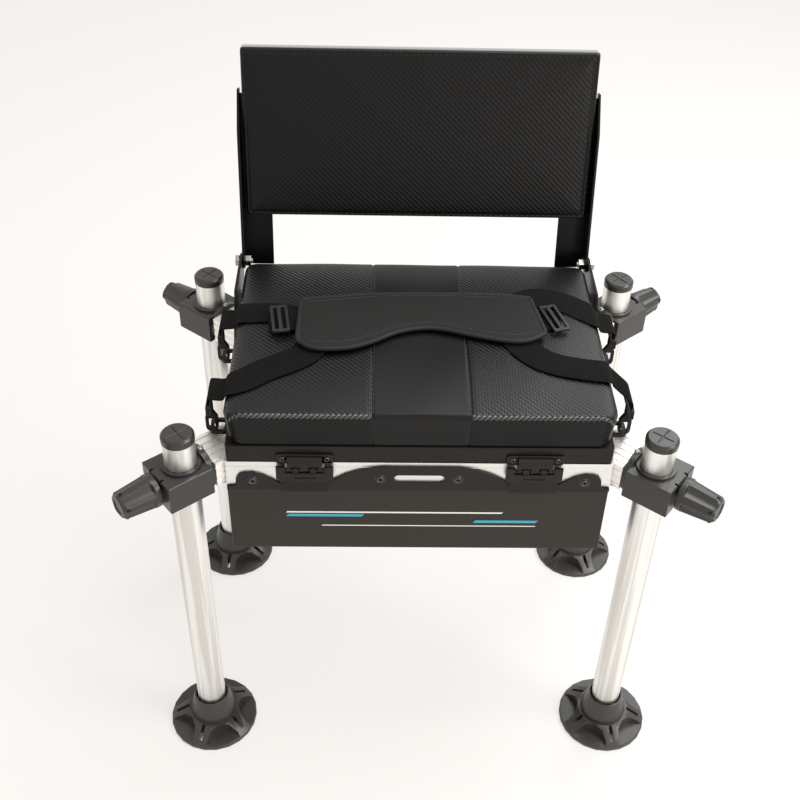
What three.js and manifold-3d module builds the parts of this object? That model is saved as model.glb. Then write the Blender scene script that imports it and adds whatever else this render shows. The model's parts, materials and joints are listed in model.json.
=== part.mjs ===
// A match fishing seat box: an aluminium rail frame round a shallow tackle box, a padded
// lid with a folding padded backrest, and four telescopic legs on swivel mud feet.
// Millimetres, +Z up, +X to the right as seen from the front, +Y towards the backrest.

import * as THREE from 'three';
import { mergeVertices } from 'three/addons/utils/BufferGeometryUtils.js';
import Module from 'manifold-3d';

const wasm = await Module();
wasm.setup();

// Driving dimensions
const railHalfLength = 214;
const railHalfWidth = 149.5;
const railBottom = 432.5;
const railHeight = 34;
const bodyHeight = 136;
const legCentreX = 261.4;
const legCentreY = 151;
const legRadius = 18;
const legTop = 509.8;
const armAngle = 38.5;
const rimHeight = 22;
const cushionHeight = 45;
const crownHeight = 10;
const backrestLean = 12;
const pivotRearOffset = 5.5;
const pivotAboveRails = 61.5;
const padBottomAbovePivot = 63;
const padHeight = 203;

// Clearances and cut overrun
const touchGap = 0.3;
const slideGap = 0.35;
const lidGap = 0.5;
const overrun = 2;

// Frame
const railThickness = 5;
const railGrooveHeight = 1.2;
const railGrooveDepth = 0.8;
const railGrooveDrop = 6;
const armWidth = 51;
const armGroovePitch = 10;
const armGrooveWidth = 1.8;
const armGrooveDepth = 1;
const armCutSetback = 2.5;
const armCutAngle = 22.2;
const armSeamWidth = 0.9;

// Clamp blocks
const blockInner = 23;
const blockOuter = 32.6;
const blockHalfWidth = 28.5;
const blockHeight = 37;
const blockSink = 4.5;
const blockEdge = 1;
const collarRise = 2.6;
const collarWall = 4.2;
const flangeThickness = 5;
const flangeRadius = 26;
const flangeLift = 19;
const notchOffset = 11;
const notchWidth = 3;
const notchHeight = 5;
const notchDepth = 4;

// Clamp knobs
const knobNeck = 2.4;
const knobLength = 45;
const knobBaseRadius = 20;
const knobEndRadius = 16.6;
const knobLobes = 5;
const knobFluteDepth = 4.2;
const knobDishRadius = 9.5;
const knobDishDepth = 1.2;
const studRadius = 5;

// Legs
const legWall = 2;
const fluteCount = 24;
const fluteDepth = 0.5;
const capHeight = 10;
const capRadius = 18.6;
const capRound = 2.6;
const capPlugLength = 12;
const capCrossLength = 25;
const capCrossWidth = 1.6;
const capCrossDepth = 1.1;

// Mud feet
const ballRadius = 19;
const ballHeight = 38;
const ballShankLength = 15;
const cupGap = 1.4;
const cupLipRise = 5.5;
const cupThroatRadius = 19.8;
const cupMouthRadius = 20.7;
const footRadius = 56.5;
const footRim = 5;
const footRimRound = 2;
const footDomeHeight = 22;
const footDomeRadius = 33.5;
const footHubRadius = 29;
const footHubBase = 27;
const footHubWaist = 26;
const footHubWaistHeight = 38;
const footCollarRadius = 22.4;
const footCollarTop = 52;
const footSlots = 5;
const footSlotInner = 32;
const footSlotOuter = 49;
const footSlotWidth = 4.5;
const footScoopRadius = 24;
const footScoopFloor = 6.4;
const footTurns = { front_left: -106, front_right: -80, rear_left: -98, rear_right: -70 };

// Box body, front panel and front plate
const bodyWall = 4;
const bodyFloor = 5;
const bodyCorner = 6;
const panelEdge = 0.8;
const plateThickness = 2.2;
const plateDrop = 5.5;
const plateLobeRise = 29.5;
const plateEndRise = 19.8;
const plateDip = 1.5;
const slotHalfLength = 28;
const slotHeight = 11.5;
const slotRise = 6;
const plateScrewInner = 43;
const plateScrewOuter = 184.5;
const plateScrewInnerRise = 12;
const plateScrewOuterRise = 8.5;
const screwHeadRadius = 3.9;
const screwHeadHeight = 1.6;
const screwSocketRadius = 1.8;
const screwSocketDepth = 1;

// Lid base and seat cushion
const lidWall = 3.5;
const lidCorner = 5;
const lidInset = 1;
const cushionInset = 2;
const cushionCorner = 18;
const frontRoll = 4;
const sideRoll = 10;
const rearRoll = 15;
const seamOffset = 47;
const seamHalfWidth = 2.5;
const seamDepth = 1.6;
const sideDraw = 1.5;

// Latches
const latchOffset = 126.5;
const latchPlateHalfWidth = 31.5;
const latchPlateHeight = 13;
const latchPlateThickness = 2.5;
const latchPadHalfWidth = 19;
const latchPadProud = 6;
const latchScrewOffset = 24.5;
const latchScrewRadius = 3.1;
const latchPivotDrop = 6;
const latchNotchWidth = 11;
const latchPivotProud = 5.6;
const latchKnuckleOffset = 9.8;
const latchKnuckleWidth = 6.5;
const latchKnuckleRadius = 3.9;
const latchPinRadius = 1.6;
const leverThickness = 4.4;
const leverArmInner = 21.5;
const leverFoot = 17.3;
const leverWindow = 4.6;
const leverChamfer = 4;
const leverTabInset = 5;
const leverTabLength = 11.5;
const leverTabSplay = 3;
const leverTabThickness = 2;
const leverEmbossHalfWidth = 12;
const leverEmbossDrop = 3.4;
const leverEmbossHeight = 4;
const leverEmbossDepth = 0.8;

// Rear hinges
const hingeLength = 330;
const hingeKnuckles = 7;
const hingeLeafThickness = 2;
const hingeLeafHeight = 18;
const hingeBarrelRadius = 3.6;
const hingePinRadius = 1.5;
const hingeProud = 4.6;

// Backrest
const bracketThickness = 3.5;
const bracketGap = 0.4;
const bracketTopFront = 80;
const bracketTopRear = 168;
const bracketFootFront = 42;
const bracketFootRear = 130;
const bracketBossRadius = 8;
const bracketBossFront = 58;
const bracketBossRear = 112;
const flangeSheet = 3;
const leafSheet = 2.5;
const leafInner = 180;
const leafTop = 205;
const leafFoot = -12;
const sideFlangeTop = 211;
const sideFlangeFront = 5;
const padHalfLength = 210.5;
const padThickness = 19.6;
const padCorner = 7;
const padEdgeRound = 4;
const boltShankRadius = 3.9;
const boltHeadAcross = 13;
const boltHeadHeight = 5;
const nutHeight = 7;
const boltBoreGap = 0.3;

// Carrying strap
const webWidth = 38;
const webThickness = 1.6;
const strapPadThickness = 6.5;
const strapPadLift = 2.6;
const strapPadRound = 1.6;
const buckleLength = 50;
const buckleWidth = 20;
const buckleBar = 4;
const buckleThickness = 3;
const tabWidth = 20;
const tabThickness = 2;
const tabHeight = 16;
const eyeLift = 6.6;
const ringBar = 4;
const ringLength = 24;
const ringDepth = 19;
const ringCorner = 5;
const rearTabY = 29;
const frontTabY = -98;
const frontLeftEdgeY = -101;
const frontRightEdgeY = -74;
const hookEyeLength = 46;
const hookEyeHeight = 13;
const hookEyeBar = 4;
const hookThickness = 5;
const hookLength = 46;
const hookSlotRadius = 3.8;
const hookWall = 3.2;
const swivelRadius = 3;

const strapPlaces = [
  { name: 'rear_left', side: -1, ringY: rearTabY, edgeY: rearTabY },
  { name: 'rear_right', side: 1, ringY: rearTabY, edgeY: rearTabY },
  { name: 'front_left', side: -1, ringY: frontTabY, edgeY: frontLeftEdgeY },
  { name: 'front_right', side: 1, ringY: frontTabY, edgeY: frontRightEdgeY },
];

// Round facets
const roundFacets = 24;
const smallFacets = 10;
const ballFacets = 12;
const boltFacets = 14;
const pinFacets = 8;
const footFacets = 22;

// Heights and faces worked out from the driving dimensions
const railTop = railBottom + railHeight;
const bodyBottom = railTop - bodyHeight;
const lidBottom = railTop + lidGap;
const lidTop = lidBottom + rimHeight;
const cushionEdge = lidTop + cushionHeight;
const lidHalfLength = railHalfLength - lidInset;
const lidHalfWidth = railHalfWidth - lidInset / 2;
const cushionHalfLength = railHalfLength - cushionInset;
const cushionHalfWidth = lidHalfWidth;
const bodyHalfLength = railHalfLength - railThickness - touchGap;
const bodyHalfWidth = railHalfWidth - railThickness - touchGap;
const armMiddle = railBottom + railHeight / 2;
const blockBottom = railBottom - blockSink;
const blockTop = blockBottom + blockHeight;
const clampHeight = blockBottom + flangeLift;
const pivotY = railHalfWidth + pivotRearOffset;
const pivotZ = railTop + pivotAboveRails;
const flangeInner = railHalfLength;
const flangeOuter = flangeInner + flangeSheet;
const bracketInner = flangeOuter + bracketGap;
const bracketOuter = bracketInner + bracketThickness;
const ballCut = ballHeight + Math.sqrt(ballRadius ** 2 - legRadius ** 2);
const legBottom = ballCut + touchGap;
const legInner = legRadius - legWall;
const boreRadius = legRadius + slideGap;
const latchFace = lidHalfWidth + touchGap;
const latchPivotZ = lidBottom - latchPivotDrop;
const latchPivotY = latchFace + latchPivotProud;
const hingeY = lidHalfWidth + hingeProud;
const hingeZ = railTop + lidGap / 2;
const tau = Math.PI * 2;
const radians = THREE.MathUtils.degToRad;

// Materials
function material(color, roughness, metalness = 0) {
  return new THREE.MeshStandardMaterial({ color, roughness, metalness });
}
const aluminium = material('#d4d0c8', 0.32, 1);
const brushedRail = material('#cfc8bd', 0.4, 1);
const mouldedBlack = material('#3d3b39', 0.55);
const rubberBlack = material('#2f2d2a', 0.75);
const coatedBlack = material('#2b2927', 0.5, 0.3);
const panelBlack = material('#3b3733', 0.45);
const vinyl = material('#2c2b2b', 0.6);
const webbingBlack = material('#242322', 0.9);
const paddedBlack = material('#2e2d2c', 0.85);
const zinc = material('#c9c8c4', 0.3, 1);

// Solids, joins and cuts
function toSolid(geometry) {
  const bare = geometry.clone();
  bare.deleteAttribute('normal');
  bare.deleteAttribute('uv');
  const merged = mergeVertices(bare);
  const vertProperties = Float32Array.from(merged.attributes.position.array);
  const triVerts = Uint32Array.from(merged.index.array);
  return new wasm.Manifold(new wasm.Mesh({ numProp: 3, vertProperties, triVerts }));
}

function toGeometry(solid) {
  const mesh = solid.getMesh();
  const geometry = new THREE.BufferGeometry();
  geometry.setAttribute('position', new THREE.BufferAttribute(Float32Array.from(mesh.vertProperties), 3));
  geometry.setIndex(Array.from(mesh.triVerts));
  geometry.computeVertexNormals();
  return geometry;
}

function cut(geometry, cutters) {
  let solid = toSolid(geometry);
  for (const cutter of cutters) {
    solid = solid.subtract(toSolid(cutter));
  }
  return toGeometry(solid);
}

function join(geometries) {
  let solid = toSolid(geometries[0]);
  for (const other of geometries.slice(1)) {
    solid = solid.add(toSolid(other));
  }
  return toGeometry(solid);
}

function overlap(geometry, other) {
  return toGeometry(toSolid(geometry).intersect(toSolid(other)));
}

// A block from one corner to the opposite one
function block(low, high) {
  const size = high.map((value, axis) => value - low[axis]);
  const geometry = new THREE.BoxGeometry(...size);
  geometry.translate(...low.map((value, axis) => value + size[axis] / 2));
  return geometry;
}

// A plan outline raised from one height to another
function prism(points, bottom, top, curveSegments = 4) {
  const drawn = points instanceof THREE.Shape;
  const shape = drawn ? points : new THREE.Shape(points.map(([x, y]) => new THREE.Vector2(x, y)));
  const options = { depth: top - bottom, bevelEnabled: false, curveSegments };
  const geometry = new THREE.ExtrudeGeometry(shape, options);
  geometry.translate(0, 0, bottom);
  return toGeometry(toSolid(geometry));
}

// The same with a small bevel inside its outline and height
function bevelled(shape, bottom, top, bevel, curveSegments = 4) {
  const geometry = new THREE.ExtrudeGeometry(shape, {
    depth: top - bottom - bevel * 2,
    bevelEnabled: true,
    bevelSize: bevel,
    bevelOffset: -bevel,
    bevelThickness: bevel,
    bevelSegments: 1,
    curveSegments,
  });
  geometry.translate(0, 0, bottom + bevel);
  return toGeometry(toSolid(geometry));
}

function roundedRectangle(low, high, radius) {
  const shape = new THREE.Shape();
  shape.moveTo(low[0] + radius, low[1]);
  shape.lineTo(high[0] - radius, low[1]);
  shape.absarc(high[0] - radius, low[1] + radius, radius, -Math.PI / 2, 0);
  shape.lineTo(high[0], high[1] - radius);
  shape.absarc(high[0] - radius, high[1] - radius, radius, 0, Math.PI / 2);
  shape.lineTo(low[0] + radius, high[1]);
  shape.absarc(low[0] + radius, high[1] - radius, radius, Math.PI / 2, Math.PI);
  shape.lineTo(low[0], low[1] + radius);
  shape.absarc(low[0] + radius, low[1] + radius, radius, Math.PI, Math.PI * 1.5);
  return shape;
}

// Round bars along each axis, from one end to the other
function barZ(radius, from, to, facets = smallFacets) {
  const geometry = new THREE.CylinderGeometry(radius, radius, to - from, facets);
  geometry.rotateX(Math.PI / 2);
  geometry.translate(0, 0, (from + to) / 2);
  return geometry;
}

function barX(radius, from, to, facets = smallFacets) {
  const geometry = new THREE.CylinderGeometry(radius, radius, to - from, facets);
  geometry.rotateZ(-Math.PI / 2);
  geometry.translate((from + to) / 2, 0, 0);
  return geometry;
}

// A prism whose outline is drawn in Y and Z and which runs along X
function sideProfile(points, from, to) {
  const piece = prism(points, from, to);
  return piece.applyMatrix4(new THREE.Matrix4().set(0, 0, 1, 0, 1, 0, 0, 0, 0, 1, 0, 0, 0, 0, 0, 1));
}

function moved(geometry, x, y, z) {
  geometry.translate(x, y, z);
  return geometry;
}

// A turned profile of radius and height pairs round Z
function turned(profile, facets = roundFacets) {
  const geometry = new THREE.LatheGeometry(profile.map(([r, z]) => new THREE.Vector2(r, z)), facets);
  geometry.rotateX(Math.PI / 2);
  return geometry;
}

// A skin over rings of equal point counts, closed by a fan at each end
function skinned(rings) {
  const count = rings[0].length;
  const positions = rings.flat().flatMap((point) => [point.x, point.y, point.z]);
  const index = [];
  for (let ring = 0; ring < rings.length - 1; ring += 1) {
    for (let i = 0; i < count; i += 1) {
      const next = (i + 1) % count;
      const a = ring * count + i;
      const b = ring * count + next;
      index.push(a, b, b + count, a, b + count, a + count);
    }
  }
  for (const [ring, flip] of [[0, true], [rings.length - 1, false]]) {
    const centre = new THREE.Vector3();
    for (const point of rings[ring]) {
      centre.addScaledVector(point, 1 / count);
    }
    const centreIndex = positions.length / 3;
    positions.push(centre.x, centre.y, centre.z);
    for (let i = 0; i < count; i += 1) {
      const a = ring * count + i;
      const b = ring * count + ((i + 1) % count);
      index.push(centreIndex, flip ? b : a, flip ? a : b);
    }
  }
  const geometry = new THREE.BufferGeometry();
  geometry.setAttribute('position', new THREE.Float32BufferAttribute(positions, 3));
  geometry.setIndex(index);
  geometry.computeVertexNormals();
  return geometry;
}

const assembly = new THREE.Group();

function place(parent, name, geometry, finish, x = 0, y = 0, z = 0) {
  const mesh = new THREE.Mesh(geometry, finish);
  mesh.name = name;
  mesh.position.set(x, y, z);
  parent.add(mesh);
  return mesh;
}

// Leg tube with fine lengthwise flutes
function legTube() {
  const outline = new THREE.Shape();
  const points = fluteCount * 2;
  for (let i = 0; i < points; i += 1) {
    const radius = i % 2 ? legRadius - fluteDepth : legRadius;
    const angle = (i / points) * tau;
    const method = i ? 'lineTo' : 'moveTo';
    outline[method](radius * Math.cos(angle), radius * Math.sin(angle));
  }
  outline.closePath();
  const hole = new THREE.Path();
  for (let i = fluteCount - 1; i >= 0; i -= 1) {
    const angle = (i / fluteCount) * tau;
    const method = i === fluteCount - 1 ? 'moveTo' : 'lineTo';
    hole[method](legInner * Math.cos(angle), legInner * Math.sin(angle));
  }
  hole.closePath();
  outline.holes.push(hole);
  return prism(outline, legBottom, legTop - capHeight - touchGap);
}

// Leg cap: a rounded disc with a pressed cross and a plug down the tube
function legCap() {
  const seat = legTop - capHeight;
  const plugRadius = legInner - slideGap * 2;
  const corner = capRadius - capRound;
  const shoulder = legTop - capRound;
  const cap = turned([
    [0, seat - capPlugLength],
    [plugRadius, seat - capPlugLength],
    [plugRadius, seat],
    [capRadius, seat],
    [capRadius, shoulder],
    [corner, legTop],
    [0, legTop],
  ]);
  const long = capCrossLength / 2;
  const half = capCrossWidth / 2;
  const floor = legTop - capCrossDepth;
  return cut(cap, [
    block([-long, -half, floor], [long, half, legTop + overrun]),
    block([-half, -long, floor], [half, long, legTop + overrun]),
  ]);
}

// Ball plug in the foot of the leg
function footBall() {
  const steps = 4;
  const start = -Math.PI / 2;
  const end = Math.acos(legRadius / ballRadius);
  const profile = [[0, ballHeight - ballRadius]];
  for (let i = 1; i <= steps; i += 1) {
    const angle = start + ((end - start) * i) / steps;
    profile.push([ballRadius * Math.cos(angle), ballHeight + ballRadius * Math.sin(angle)]);
  }
  const shank = legInner - slideGap * 2;
  profile.push([shank, ballCut], [shank, ballCut + ballShankLength], [0, ballCut + ballShankLength]);
  return turned(profile, ballFacets);
}

// Mud foot: a domed disc with a ball cup, arched scoops and slotted ribs
function mudFoot() {
  const body = turned([
    [0, 0],
    [footRadius - footRimRound / 2, 0],
    [footRadius, footRimRound / 2],
    [footRadius, footRim],
    [footRadius - footRimRound, footRim + footRimRound],
    [footDomeRadius, footDomeHeight],
    [footHubRadius, footDomeHeight],
    [footHubRadius, footHubBase],
    [footHubWaist, footHubWaistHeight],
    [footCollarRadius, footCollarTop],
    [0, footCollarTop],
  ], footFacets);
  const cutters = [ballCup()];
  for (let i = 0; i < footSlots; i += 1) {
    const angle = (i / footSlots) * tau;
    const scoop = barZ(footScoopRadius, footScoopFloor, footDomeHeight * 2, 12);
    moved(scoop, footRadius, 0, 0).rotateZ(angle + tau / footSlots / 2);
    cutters.push(scoop);
    const half = footSlotWidth / 2;
    const slot = block([footSlotInner, -half, -overrun], [footSlotOuter, half, footDomeHeight * 2]);
    cutters.push(slot.rotateZ(angle));
  }
  return cut(body, cutters);
}

function ballCup() {
  const radius = ballRadius + cupGap;
  const steps = 4;
  const start = -Math.PI / 2;
  const end = Math.asin(cupLipRise / radius);
  const profile = [[0, ballHeight - radius]];
  for (let i = 1; i <= steps; i += 1) {
    const angle = start + ((end - start) * i) / steps;
    profile.push([radius * Math.cos(angle), ballHeight + radius * Math.sin(angle)]);
  }
  const top = footCollarTop + overrun;
  profile.push([cupThroatRadius, legBottom], [cupMouthRadius, footCollarTop]);
  profile.push([cupMouthRadius, top], [0, top]);
  return turned(profile, ballFacets);
}

// Clamp block: bevelled body, leg collar, round flange, stud hole and two outer notches
function clampBlock() {
  const outline = roundedRectangle([-blockInner, -blockHalfWidth], [blockOuter, blockHalfWidth], blockEdge);
  const body = bevelled(outline, blockBottom, blockTop, blockEdge, 1);
  const collar = barZ(boreRadius + collarWall, blockTop - overrun, blockTop + collarRise, roundFacets);
  const flange = barX(flangeRadius, -blockInner - flangeThickness, overrun - blockInner, roundFacets);
  moved(flange, 0, 0, clampHeight);
  const bore = barZ(boreRadius, blockBottom - overrun, blockTop + collarRise + overrun, roundFacets);
  const stud = moved(barX(studRadius + slideGap * 2, 0, blockOuter + overrun), 0, 0, clampHeight);
  const cutters = [bore, stud];
  for (const side of [-1, 1]) {
    cutters.push(block(
      [blockOuter - notchDepth, side * notchOffset - notchWidth / 2, blockTop - notchHeight],
      [blockOuter + overrun, side * notchOffset + notchWidth / 2, blockTop + overrun],
    ));
  }
  return cut(join([body, collar, flange]), cutters);
}

// Clamp knob: five scooped flutes, a dished end, and a moulded-in stud that meets the leg
function clampKnob() {
  const perLobe = 5;
  const count = knobLobes * perLobe;
  const fluteShares = [0.12, 0, 0.12, 1, 1];
  const start = blockOuter + knobNeck;
  const stations = [
    [legRadius + slideGap * 2, studRadius, 0],
    [start, studRadius, 0],
    [start, knobBaseRadius * 0.98, 0],
    [start + knobLength * 0.14, knobBaseRadius, 0],
    [start + knobLength * 0.18, knobBaseRadius * 0.98, 1],
    [start + knobLength * 0.9, knobEndRadius, 0.7],
    [start + knobLength, knobEndRadius * 0.78, 0.2],
    [start + knobLength, knobDishRadius, 0],
    [start + knobLength - knobDishDepth, knobDishRadius, 0],
  ];
  const rings = stations.map(([x, radius, flute]) => {
    const ring = [];
    for (let i = 0; i < count; i += 1) {
      const angle = (i / count) * tau;
      const reach = radius - flute * knobFluteDepth * fluteShares[i % perLobe];
      ring.push(new THREE.Vector3(x, reach * Math.cos(angle), reach * Math.sin(angle)));
    }
    return ring;
  });
  return moved(skinned(rings), 0, 0, clampHeight);
}

// Arm section: a ribbed bar along X with lengthwise grooves on its top and sides
function armBar(from, to) {
  const half = armWidth / 2;
  const tall = railHeight / 2;
  const bar = block([from, -half, -tall], [to, half, tall]);
  const cutters = [];
  const start = from - overrun;
  const end = to + overrun;
  const mid = armGrooveWidth / 2;
  for (let lane = -2; lane <= 2; lane += 1) {
    const y = lane * armGroovePitch;
    cutters.push(block([start, y - mid, tall - armGrooveDepth], [end, y + mid, tall + overrun]));
  }
  for (const lane of [-1, 0, 1]) {
    const z = lane * armGroovePitch;
    cutters.push(block([start, half - armGrooveDepth, z - mid], [end, half + overrun, z + mid]));
    cutters.push(block([start, -half - overrun, z - mid], [end, armGrooveDepth - half, z + mid]));
  }
  return cut(bar, cutters);
}

// The slanted plane between arm and corner bracket, as two plan points of one quarter
function armCutLine() {
  const angle = radians(armCutAngle);
  const top = new THREE.Vector2(railHalfLength, railHalfWidth - armCutSetback);
  const along = new THREE.Vector2(Math.sin(angle), -Math.cos(angle));
  const reach = railHalfWidth;
  return [
    top.clone().addScaledVector(along, -reach),
    top.clone().addScaledVector(along, reach),
    new THREE.Vector2(Math.cos(angle), Math.sin(angle)),
  ];
}

function quarterPoints(points, side, end) {
  return points.map((point) => [point.x * side, point.y * end]);
}

// The ribbed bar of one corner, laid on its diagonal in the box frame
function diagonalBar(side, end) {
  const angle = radians(armAngle);
  const bar = armBar(-armWidth * 2, -blockInner - flangeThickness - touchGap);
  bar.rotateZ(Math.atan2(end * Math.sin(angle), side * Math.cos(angle)));
  bar.translate(side * legCentreX, end * legCentreY, armMiddle);
  return bar;
}

function cornerArm(side, end) {
  const [near, far, outward] = armCutLine();
  const face = railHalfLength + touchGap;
  const wide = legCentreX * 2;
  const region = prism(quarterPoints([
    new THREE.Vector2(face, far.y),
    new THREE.Vector2(wide, far.y),
    new THREE.Vector2(wide, near.y),
    new THREE.Vector2(face, near.y),
  ], side, end), railBottom - overrun, railTop + overrun);
  const shift = outward.clone().multiplyScalar(armSeamWidth);
  const seam = prism(quarterPoints([
    near,
    far,
    far.clone().add(shift),
    near.clone().add(shift),
  ], side, end), railTop - armGrooveDepth * 1.5, railTop + overrun);
  return cut(overlap(diagonalBar(side, end), region), [seam]);
}

// Frame rails: mitred grooved bars
function railBar(halfLength, halfWidth, alongX) {
  const inner = halfWidth - railThickness;
  const gap = touchGap / 2;
  const outline = [
    [-halfLength + gap, -halfWidth],
    [halfLength - gap, -halfWidth],
    [halfLength - railThickness - gap, -inner],
    [-halfLength + railThickness + gap, -inner],
  ];
  const bar = prism(outline, railBottom, railTop);
  const top = railTop - railGrooveDrop;
  const grooved = cut(bar, [block(
    [-halfLength - overrun, -halfWidth - overrun, top - railGrooveHeight],
    [halfLength + overrun, railGrooveDepth - halfWidth, top],
  )]);
  return alongX ? grooved : grooved.rotateZ(Math.PI / 2);
}

function frontScrewPlaces() {
  const places = [];
  for (const side of [-1, 1]) {
    places.push([side * plateScrewInner, railBottom + plateScrewInnerRise]);
    places.push([side * plateScrewOuter, railBottom + plateScrewOuterRise]);
  }
  return places;
}

// A pan head with a hex socket, facing -Y, its seat a little below the face that carries it
function panHead(radius, height, socket) {
  const head = turned([
    [0, -touchGap],
    [radius, -touchGap],
    [radius, height * 0.4],
    [radius * 0.85, height],
    [0, height],
  ], smallFacets);
  const recess = barZ(socket, height - screwSocketDepth, height + overrun, 6);
  return cut(head, [recess]).rotateX(Math.PI / 2);
}

// Box body: an open tray with rounded corners
function boxBody() {
  const outer = roundedRectangle(
    [-bodyHalfLength, -bodyHalfWidth],
    [bodyHalfLength, bodyHalfWidth],
    bodyCorner,
  );
  const inner = roundedRectangle(
    [bodyWall - bodyHalfLength, bodyWall - bodyHalfWidth],
    [bodyHalfLength - bodyWall, bodyHalfWidth - bodyWall],
    bodyCorner - bodyWall / 2,
  );
  const hollow = prism(inner, bodyBottom + bodyFloor, railTop + overrun);
  return cut(prism(outer, bodyBottom, railTop - lidGap), [hollow]);
}

function frontPanel() {
  const outline = roundedRectangle(
    [-railHalfLength, bodyBottom - touchGap],
    [railHalfLength, railBottom - touchGap],
    panelEdge * 2,
  );
  const panel = bevelled(outline, 0, railThickness, panelEdge, 2);
  return moved(panel.rotateX(Math.PI / 2), 0, railThickness - railHalfWidth, 0);
}

// Upper edge of the front plate, from the centre lobe over the dip to the right end
function plateEdge() {
  const dip = railBottom - plateDip;
  const lobe = railBottom + plateLobeRise;
  const endLobe = railBottom + plateEndRise;
  const lean = plateLobeRise * 0.45;
  const lobeEnd = slotHalfLength * 1.5;
  const dipStart = latchOffset - leverFoot;
  const dipEnd = latchOffset + leverFoot * 0.8;
  const outer = railHalfLength - railThickness * 2;
  const tip = railHalfLength - touchGap;
  const edge = new THREE.Path();
  edge.moveTo(lobeEnd, lobe);
  edge.bezierCurveTo(lobeEnd + lean * 2, lobe, dipStart - lean, dip + lean, dipStart, dip);
  edge.lineTo(dipEnd, dip);
  edge.bezierCurveTo(dipEnd + lean, dip, plateScrewOuter - lean, endLobe, plateScrewOuter, endLobe);
  edge.bezierCurveTo(outer - railThickness, endLobe, outer, endLobe - plateDip, outer, railBottom);
  edge.lineTo(tip, railBottom - plateDip);
  edge.lineTo(tip, railBottom - plateDrop);
  return edge.getPoints(4).map(({ x, y }) => [x, y]);
}

// Front plate: a wide centre lobe with a slot, dips under the latches, and end lobes
function frontPlate() {
  const right = plateEdge();
  const left = right.map(([x, y]) => [-x, y]).reverse();
  const plate = prism([...left, ...right], 0, plateThickness).rotateX(Math.PI / 2);
  moved(plate, 0, -railHalfWidth - touchGap, 0);
  const slotOutline = roundedRectangle(
    [-slotHalfLength, railBottom + slotRise],
    [slotHalfLength, railBottom + slotRise + slotHeight],
    slotHeight * 0.48,
  );
  const slot = prism(slotOutline, -overrun, plateThickness + overrun).rotateX(Math.PI / 2);
  moved(slot, 0, -railHalfWidth - touchGap, 0);
  const face = -railHalfWidth - touchGap - plateThickness;
  const heads = frontScrewPlaces().map(([x, z]) => moved(
    panHead(screwHeadRadius, screwHeadHeight, screwSocketRadius), x, face, z,
  ));
  return join([cut(plate, [slot]), ...heads]);
}

// Lid base: a rim with a top board, hollow below
function lidBase() {
  const outer = roundedRectangle([-lidHalfLength, -lidHalfWidth], [lidHalfLength, lidHalfWidth], lidCorner);
  const inner = roundedRectangle(
    [lidWall - lidHalfLength, lidWall - lidHalfWidth],
    [lidHalfLength - lidWall, lidHalfWidth - lidWall],
    lidCorner / 2,
  );
  const shell = bevelled(outer, lidBottom, lidTop, lidWall / 4, 3);
  const hollow = cut(shell, [prism(inner, lidBottom - overrun, lidTop - lidWall)]);
  const eyes = strapPlaces.map(({ side, ringY }) => strapEye(side, ringY));
  return join([hollow, ...eyes]);
}

// Seat cushion: crowned top, rolled edges, two seams and drawn-in sides
function rollDrop(inset, radius) {
  return inset >= radius ? 0 : radius - Math.sqrt(radius ** 2 - (radius - Math.max(inset, 0)) ** 2);
}

function cushionTop(x, y) {
  const shareX = Math.min(Math.abs(x) / cushionHalfLength, 1);
  const shareY = Math.min(Math.abs(y) / cushionHalfWidth, 1);
  const crown = crownHeight * (1 - shareX ** 3) * (1 - shareY ** 3);
  const drop = rollDrop(cushionHalfLength - Math.abs(x), sideRoll)
    + rollDrop(cushionHalfWidth + y, frontRoll)
    + rollDrop(cushionHalfWidth - y, rearRoll);
  const seam = Math.abs(Math.abs(x) - seamOffset) < touchGap ? seamDepth : 0;
  return cushionEdge + crown - Math.min(drop, rearRoll) - seam;
}

function cushionColumns() {
  const half = [
    seamOffset * 0.5,
    seamOffset - seamHalfWidth,
    seamOffset,
    seamOffset + seamHalfWidth,
    cushionHalfLength * 0.4,
    cushionHalfLength * 0.62,
    cushionHalfLength * 0.82,
    cushionHalfLength - sideRoll * 1.2,
    cushionHalfLength - sideRoll * 0.5,
    cushionHalfLength - sideRoll * 0.13,
    cushionHalfLength,
  ];
  return [...half.map((x) => -x).reverse(), 0, ...half];
}

function cushionRows() {
  return [
    -cushionHalfWidth,
    frontRoll * 0.4 - cushionHalfWidth,
    frontRoll * 1.1 - cushionHalfWidth,
    -cushionHalfWidth * 0.8,
    -cushionHalfWidth * 0.45,
    0,
    cushionHalfWidth * 0.45,
    cushionHalfWidth - rearRoll * 2,
    cushionHalfWidth - rearRoll,
    cushionHalfWidth - rearRoll * 0.55,
    cushionHalfWidth - rearRoll * 0.2,
    cushionHalfWidth,
  ];
}

// Draws a grid point near a corner in onto the rounded corner
function roundedCorner(x, y) {
  const overX = (Math.abs(x) - cushionHalfLength + cushionCorner) / cushionCorner;
  const overY = (Math.abs(y) - cushionHalfWidth + cushionCorner) / cushionCorner;
  if (overX <= 0 || overY <= 0) {
    return [x, y];
  }
  const drawnX = overX * Math.sqrt(1 - overY ** 2 / 2);
  const drawnY = overY * Math.sqrt(1 - overX ** 2 / 2);
  return [
    Math.sign(x) * (cushionHalfLength - cushionCorner + drawnX * cushionCorner),
    Math.sign(y) * (cushionHalfWidth - cushionCorner + drawnY * cushionCorner),
  ];
}

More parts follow.
